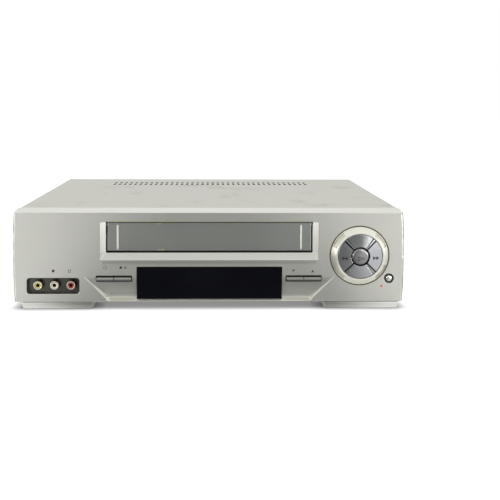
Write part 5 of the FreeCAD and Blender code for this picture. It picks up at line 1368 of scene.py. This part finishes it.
@dataclass
class KeySet:
    """The small keys beside the window and the round keypad."""

    face: float = -144.5
    dial: Pair = (146.3, 52.0)
    ring_key_inner: float = 9.3
    ring_key_outer: float = 21.4
    play_front: float = -151.0
    crown_from: float = 4.5
    crown_proud: float = 5.9
    crown_fall: float = 1.35
    record: Pair = (175.4, 29.6)
    record_front: float = -145.7

    def build(self) -> None:
        """Builds and dresses all keys."""
        key = Finishes.key
        for node in ("standby_key", "stop_eject_key", "channel_down_key", "channel_up_key"):
            softened(f"{node}_cap", node, key, 0.25)
        softened("keypad_ring", "dial_ring", Finishes.ring, 0.2, angle=24)
        caps = {
            node: softened(f"{node}_cap", node, Finishes.ring_key, 0.3, work=self.crown)
            for node in ("forward_key", "upper_key", "rewind_key", "lower_key")
        }
        play = self.play_cap()
        self.record_cap()
        self.print_signs(caps["rewind_key"], caps["forward_key"], play)

    def crown(self, shape: bmesh.types.BMesh) -> None:
        """Gives a ring key its crowned front, which falls towards the rim.

        Args:
            shape: The key's mesh.
        """
        for corner in shape.verts:
            x, y, z = corner.co / MM
            if y > self.face - self.crown_from:
                continue
            reach = math.hypot(x - self.dial[0], z - self.dial[1])
            share = (reach - self.ring_key_inner) / (self.ring_key_outer - self.ring_key_inner)
            corner.co.y = (self.face - self.crown_proud + self.crown_fall * share) * MM

    def play_cap(self) -> bpy.types.Object:
        """Builds the play key with its rounded rim and its stem.

        Returns:
            The play key's cap.
        """
        profile = [(0, 0.12), (2.0, 0.15), (4.0, 0.24), (5.6, 0.38), (6.7, 0.57), (7.3, 0.82)]
        profile += [(7.7, 1.15), (8.0, 1.7), (8.0, 8.0), (3.0, 8.0), (3.0, 15.0), (0, 15.0)]
        middle = (self.dial[0], self.play_front, self.dial[1])
        mesh = turned("play_key_cap", profile, middle, (0, 1, 0), 96)
        return piece("play_key_cap", mesh, Finishes.play, "play_key", ("play_key",))

    def record_cap(self) -> None:
        """Builds the record key as a polished dome on its stem."""
        profile = [(0, 0.0), (0.9, 0.05), (1.7, 0.22), (2.4, 0.55), (2.9, 1.0), (3.15, 1.6)]
        profile += [(3.2, 2.2), (3.2, 4.5), (1.7, 4.5), (1.7, 10.2), (0, 10.2)]
        middle = (self.record[0], self.record_front, self.record[1])
        mesh = turned("record_key_dome", profile, middle, (0, 1, 0), 64)
        piece("record_key_dome", mesh, Finishes.chrome, "record_key", ("record_key",))

    def print_signs(
        self, rewind: bpy.types.Object, forward: bpy.types.Object, play: bpy.types.Object
    ) -> None:
        """Prints the winding and play signs.

        Args:
            rewind: The cap of the rewind key.
            forward: The cap of the forward key.
            play: The cap of the play key.
        """
        ink = Finishes.black_ink
        left = [arrow(3.1, 3.5, -1.55, -1), arrow(3.1, 3.5, 1.55, -1)]
        right = [arrow(3.1, 3.5, -1.55), arrow(3.1, 3.5, 1.55)]
        stamped("rewind_sign", left, (130.6, 50.2), rewind, ink)
        stamped("forward_sign", right, (161.7, 50.6), forward, ink)
        outer = [(-3.1, -2.1), (3.5, 0.0), (-3.1, 2.1)]
        inner = [(-2.5, -1.3), (2.0, 0.0), (-2.5, 1.3)]
        sides = [[outer[i], outer[(i + 1) % 3], inner[(i + 1) % 3], inner[i]] for i in range(3)]
        stamped("play_sign", sides, (146.9, 50.2), play, ink)


@dataclass
class FrontSockets:
    """The three phono sockets of the pocket."""

    def build(self) -> None:
        """Builds and dresses the front sockets."""
        softened("socket_shells", "front_jack_shells", Finishes.front_nickel, 0.2)
        softened("video_core", "video_jack_core", Finishes.yellow, 0.2)
        softened("left_core", "left_jack_core", Finishes.white, 0.2)
        softened("right_core", "right_jack_core", Finishes.red, 0.2)


@dataclass(frozen=True)
class ScrewHead:
    """A screw head with a cross recess.

    Shares are of the radius or of the rise. A level is (share of the radius,
    share of the rise).
    """

    radius: float
    rise: float
    arm_share: float = 0.55
    slot_share: float = 0.15
    floor_share: float = 0.8
    floor_rise: float = 0.3
    rim_steps: int = 32
    levels: tuple[Pair, ...] = ((1.0, 0.0), (1.0, 0.45), (0.93, 0.78), (0.8, 1.0))
    smooth_below: float = 40.0

    def cross(self) -> list[Pair]:
        """Outlines the recess, arm by arm.

        Returns:
            The outline about the head's middle.
        """
        arm, half = self.radius * self.arm_share, self.radius * self.slot_share
        quarter = [(half, half), (half, arm), (-half, arm)]
        outline = []
        for _ in range(4):
            outline += quarter
            quarter = [(-b, a) for a, b in quarter]
        return outline

    def rim(self) -> list[Pair]:
        """Outlines the head with a radius of 1."""
        turns = [math.tau * step / self.rim_steps for step in range(self.rim_steps)]
        return [(math.cos(turn), math.sin(turn)) for turn in turns]

    def add(self, shape: bmesh.types.BMesh, place: Place, along: Vector) -> None:
        """Adds one head.

        Args:
            shape: The shape that it joins.
            place: The middle of its foot.
            along: Direction out of the sheet that it holds.
        """
        aside = along.orthogonal().normalized()
        up = along.cross(aside)

        def row(points: Iterable[Pair], wide: float, high: float) -> list[bmesh.types.BMVert]:
            """Adds a level row of corners, its points made wider and put at a height."""
            spots = [aside * a * wide + up * b * wide + along * high for a, b in points]
            return [shape.verts.new((Vector(place) + spot) * MM) for spot in spots]

        rows = [row(self.rim(), self.radius * wide, self.rise * high) for wide, high in self.levels]
        mouth = row(self.cross(), 1.0, self.rise)
        floor = row(self.cross(), self.floor_share, self.rise * self.floor_rise)
        for near, far in [*zip(rows, rows[1:], strict=False), (mouth, floor)]:
            bridge(shape, near, far)
        shape.faces.new(floor)
        edges = [
            shape.edges.get((ring[index - 1], corner))
            for ring in (rows[-1], mouth)
            for index, corner in enumerate(ring)
        ]
        bmesh.ops.triangle_fill(shape, edges=edges, use_beauty=True)

    def mesh(self, name: str, places: Iterable[Place], out: Place) -> bpy.types.Mesh:
        """Makes the mesh of several heads.

        Args:
            name: The mesh's name.
            places: Middles of the heads on the sheet that they hold.
            out: Direction out of the sheet, for heads at positive places along it.

        Returns:
            The mesh.
        """
        shape = bmesh.new()
        for place in places:
            side = 1 if Vector(place).dot(Vector(out)) > 0 else -1
            self.add(shape, place, Vector(out) * side)
        mesh = ended(name, shape, outwards=True)
        smooth(mesh, self.smooth_below)
        return mesh


@dataclass
class Cover:
    """The painted steel cover and its screws."""

    side: float = 187.0
    screw_height: float = 20.0
    screw_rows: Pair = (-49.5, 115.5)
    screw: ScrewHead = ScrewHead(3.6, 1.8)

    def build(self) -> None:
        """Builds and dresses the cover."""
        softened("steel_cover", "top_cover", Finishes.cover, 0.2)
        places = [
            (side * self.side, row, self.screw_height)
            for side in (-1, 1)
            for row in self.screw_rows
        ]
        heads = self.screw.mesh("cover_screw_heads", places, (1, 0, 0))
        piece("cover_screw_heads", heads, Finishes.screw, "case", ("cover_screws",))


@dataclass
class Base:
    """The tray, the feet and the rear panel."""

    foot_ends: Mapping[int, float] = field(default_factory=lambda: {-1: -113.3, 1: 112.0})
    foot_tips: Mapping[int, float] = field(default_factory=lambda: {-1: -182.3, 1: 185.3})
    foot_slant: float = 0.25
    foot_top: float = 7.0
    tip_from: float = 170.0

    def build(self) -> None:
        """Builds and dresses the base."""
        for side, node in ((-1, "front_foot_left"), (1, "front_foot_right")):
            softened(
                f"{node}_bar",
                node,
                Finishes.foot,
                0.5,
                work=partial(self.square_end, side),
            )
        softened("rear_foot_pads", "rear_feet", Finishes.rubber, 0.6)
        present(Finishes.zinc, "chassis", "rear_panel")

    def square_end(self, side: int, shape: bmesh.types.BMesh) -> None:
        """Squares the inner end of a front foot, and slants its outer end.

        Args:
            side: -1 for the left foot and 1 for the right one.
            shape: The foot's mesh.
        """
        end = self.foot_ends[side] * MM
        for corner in shape.verts:
            if (corner.co.x - end) * side < 0:
                corner.co.x = end
            elif abs(corner.co.x) > self.tip_from * MM:
                fall = self.foot_slant * (self.foot_top * MM - corner.co.z)
                corner.co.x = self.foot_tips[side] * MM - side * fall


@dataclass
class RearSockets:
    """Sockets, screws and washers of the rear panel."""

    panel: float = 143.0
    barrel: float = 4.6
    washer: Pair = (4.7, 6.2)
    screw: ScrewHead = ScrewHead(3.0, 1.5)
    screws: tuple[Pair, ...] = (
        (-178.0, 88.0),
        (-60.0, 88.0),
        (60.0, 88.0),
        (178.0, 88.0),
        (-178.0, 16.0),
        (178.0, 16.0),
        (-110.0, 24.0),
        (100.0, 24.0),
    )

    def build(self) -> None:
        """Builds and dresses the back."""
        for name, node, finish, slot, width in (
            ("wide_socket_a", "wide_socket_left", Finishes.black, "black_moulding", 0.25),
            ("wide_socket_b", "wide_socket_right", Finishes.black, "black_moulding", 0.25),
            ("aerial_barrels", "aerial_sockets", Finishes.nickel, "nickel", 0.2),
            ("phono_holder", "rear_jack_holder", Finishes.black, "black_moulding", 0.3),
            ("phono_barrels", "rear_jacks", Finishes.nickel, "nickel", 0.2),
            ("mains_socket", "mains_inlet", Finishes.black, "black_moulding", 0.25),
        ):
            softened(name, node, finish, width)
        present(Finishes.zinc, "aerial_unit")
        places = [(across, self.panel, high) for across, high in self.screws]
        heads = self.screw.mesh("rear_screw_heads", places, (0, 1, 0))
        piece("rear_screw_heads", heads, Finishes.screw, "case")
        self.colour_rings()

    def colour_rings(self) -> None:
        """Builds the coloured washers round the phono sockets."""
        low, high = (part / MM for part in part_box("rear_jacks"))
        inner, outer = self.washer
        profile = [(inner, 0.05), (outer, 0.05), (outer, 0.5), (outer - 0.25, 0.75)]
        profile += [(inner + 0.15, 0.75), (inner, 0.6)]
        for title, finish, z in (
            ("white_washer", Finishes.white_ring, high.z - self.barrel),
            ("red_washer", Finishes.red_ring, low.z + self.barrel),
        ):
            for side, x in (("a", low.x + self.barrel), ("b", high.x - self.barrel)):
                name = f"{title}_{side}"
                ring = turned(name, profile, (x, self.panel, z), (0, 1, 0), 48, closed=True)
                piece(name, ring, finish, "case")


@dataclass
class Inside:
    """Boards, transformer and the other parts under the cover."""

    def build(self) -> None:
        """Dresses the inside."""
        kept = {
            Finishes.board: ("main_board", "front_board"),
            Finishes.tube: ("display_tube",),
            Finishes.black: ("key_switches", "board_components"),
            Finishes.iron: ("power_transformer",),
            Finishes.aluminium: ("heat_sink",),
        }
        for finish, nodes in kept.items():
            present(finish, *nodes)


@dataclass
class TapeDeck:
    """The deck with its reels, drum, guides and loading drive."""

    def build(self) -> None:
        """Dresses the deck."""
        sheet = ("deck_plate", "bracket_right", "bracket_left", "cassette_slide")
        sheet += ("cassette_holder", "idler_arm", "pinch_arm", "loading_motor")
        kept = {
            Finishes.zinc: sheet,
            Finishes.deck_plastic: ("supply_reel", "takeup_reel"),
            Finishes.tyre: ("idler_wheel", "pinch_roller"),
            Finishes.head_alloy: ("drum_base", "head_drum", "erase_head", "audio_control_head"),
            Finishes.guide_steel: ("capstan", "guide_left", "guide_right"),
            Finishes.worm_plastic: ("loading_gear", "loading_worm"),
        }
        for finish, nodes in kept.items():
            present(finish, *nodes)


@dataclass(frozen=True)
class Softbox:
    """A soft studio light that points at the machine.

    It stands at a bearing from straight in front and at a height, both in
    degrees.
    """

    title: str
    bearing: float
    height: float
    distance: float
    size: Pair
    watts: float
    aim: Place = (0.0, -0.1, 0.05)

    def build(self) -> None:
        """Sets up the light."""
        data = bpy.data.lights.new(self.title, "AREA")
        data.shape = "RECTANGLE"
        data.size, data.size_y = self.size
        data.energy = self.watts
        made = placed(self.title, data)
        turn, rise = math.radians(self.bearing), math.radians(self.height)
        level = math.cos(rise)
        away = Vector((math.sin(turn) * level, -math.cos(turn) * level, math.sin(rise)))
        made.location = Vector(self.aim) + away * self.distance
        made.rotation_euler = (-away).to_track_quat("-Z", "Y").to_euler()
        LOG.info("lit %s with %g W", self.title, self.watts)


@dataclass(frozen=True)
class Viewpoint:
    """The photograph's viewpoint, its place in millimetres and its angles in degrees."""

    place: Place = (1.924, -929.85, 205.47)
    pitch: float = 3.0
    yaw: float = -1.6232
    roll: float = -0.256
    focal_pixels: float = 815.54
    shift: Pair = (0.03, -0.2193)
    film: float = 36.0
    clip: Pair = (0.01, 50.0)

    def build(self) -> None:
        """Sets up the camera."""
        data = bpy.data.cameras.new("viewpoint")
        data.sensor_width = self.film
        data.lens = self.focal_pixels * self.film / PICTURE_WIDTH
        data.shift_x, data.shift_y = self.shift
        data.clip_start, data.clip_end = self.clip
        made = placed("viewpoint", data)
        turn = Matrix.Rotation(math.radians(self.yaw), 3, "Z")
        turn = turn @ Matrix.Rotation(math.radians(-self.pitch), 3, "X")
        turn = turn @ Matrix.Rotation(math.radians(self.roll), 3, "Y")
        right, ahead, up = turn.col
        axes = Matrix((right, up, -ahead)).transposed()
        made.matrix_world = Matrix.Translation(Vector(self.place) * MM) @ axes.to_4x4()
        bpy.context.scene.camera = made


@dataclass
class StudioSet:
    """Camera, floor, dark card, light of the room and lamps."""

    floor_half: float = 6.0
    floor_parts: int = 12
    fill: float = 0.575
    fill_colour: Colour = (0.93, 0.95, 0.92, 1.0)
    lights: tuple[Softbox, ...] = (
        Softbox("key_left", -27, 18, 1.6, (0.45, 0.9), 1.65),
        Softbox("key_right", 27, 18, 1.6, (0.45, 0.9), 3.4),
        Softbox("low_left", -66, 7, 0.95, (0.5, 0.3), 4.2),
        Softbox("low_right", 66, 7, 0.95, (0.5, 0.3), 3.4),
        Softbox("top", 0, 105, 1.5, (1.6, 1.0), 2.2),
    )
    card: tuple[Place, ...] = (
        (0.24, -0.155, 0.001),
        (0.24, -0.60, 0.001),
        (0.24, -1.10, 0.01),
        (0.45, -1.20, 0.03),
        (0.45, -1.20, 0.40),
    )
    card_edge: Pair = (0.11, 0.21)
    card_fold: Pair = (0.02, 0.03)
    card_light: float = 0.8
    card_dark: float = 0.10

    def build(self) -> None:
        """Sets up the studio."""
        Viewpoint().build()
        self.floor()
        self.flag()
        self.surroundings()
        for box in self.lights:
            box.build()

    def flag(self) -> None:
        """Sets up the dark card in front, which only reflections see."""
        shape = bmesh.new()
        rows = []
        for half, forward, height in self.card:
            spots = [(-half, forward, height), (half, forward, height)]
            rows.append([shape.verts.new(spot) for spot in spots])
        for near, far in zip(rows, rows[1:], strict=False):
            shape.faces.new([near[0], near[1], far[1], far[0]])
        made = placed("studio_flag", ended("studio_flag", shape))
        bench = Bench("flag_cloth")
        right, _, up = bench.across()
        side = right.size().held(*self.card_edge) * (1 - up.held(*self.card_fold))
        weave = bench.noise(12, 2) * 0.02
        cloth = bench.node("ShaderNodeBsdfDiffuse", {}, {"Color": (0.05, 0.05, 0.05, 1.0)})
        share = side * self.card_light + weave + self.card_dark
        both = bench.fade(share, cloth, bench.glow(1, 1.0))
        bench.node("ShaderNodeOutputMaterial", {}, {"Surface": both})
        made.data.materials.append(bench.owner)
        made.visible_camera = False
        made.visible_diffuse = False
        made.visible_shadow = False
        made.visible_transmission = False

    def floor(self) -> None:
        """Lays the floor."""
        shape = bmesh.new()
        parts = self.floor_parts
        bmesh.ops.create_grid(shape, x_segments=parts, y_segments=parts, size=self.floor_half)
        made = placed("studio_floor", ended("studio_floor", shape))
        made.data.materials.append(Finishes.ground.material())

    def surroundings(self) -> None:
        """Sets the even light of the room and the white that shows behind."""
        bench = Bench("studio", world=True)
        bpy.context.scene.world = bench.owner
        room, white = (
            bench.node("ShaderNodeBackground", {}, {"Color": colour, "Strength": strength})
            for colour, strength in ((self.fill_colour, self.fill), ((1.0, 1.0, 1.0, 1.0), 1.0))
        )
        seen = bench.ray("Camera")
        for kind in ("Glossy", "Transmission"):
            seen = seen.larger(bench.ray(kind))
        bench.node("ShaderNodeOutputWorld", {}, {"Surface": bench.fade(seen, room, white)})


def main() -> None:
    """Builds the machine and its studio."""
    logging.basicConfig(level=logging.INFO, format="%(name)s: %(message)s")
    bpy.context.scene.view_settings.view_transform = "Standard"
    StudioSet().build()
    for part in (
        FrontMoulding(),
        KeySet(),
        FrontSockets(),
        Cover(),
        Base(),
        RearSockets(),
        Inside(),
        TapeDeck(),
    ):
        part.build()
    bpy.context.view_layer.update()


if __name__ == "__main__":
    main()
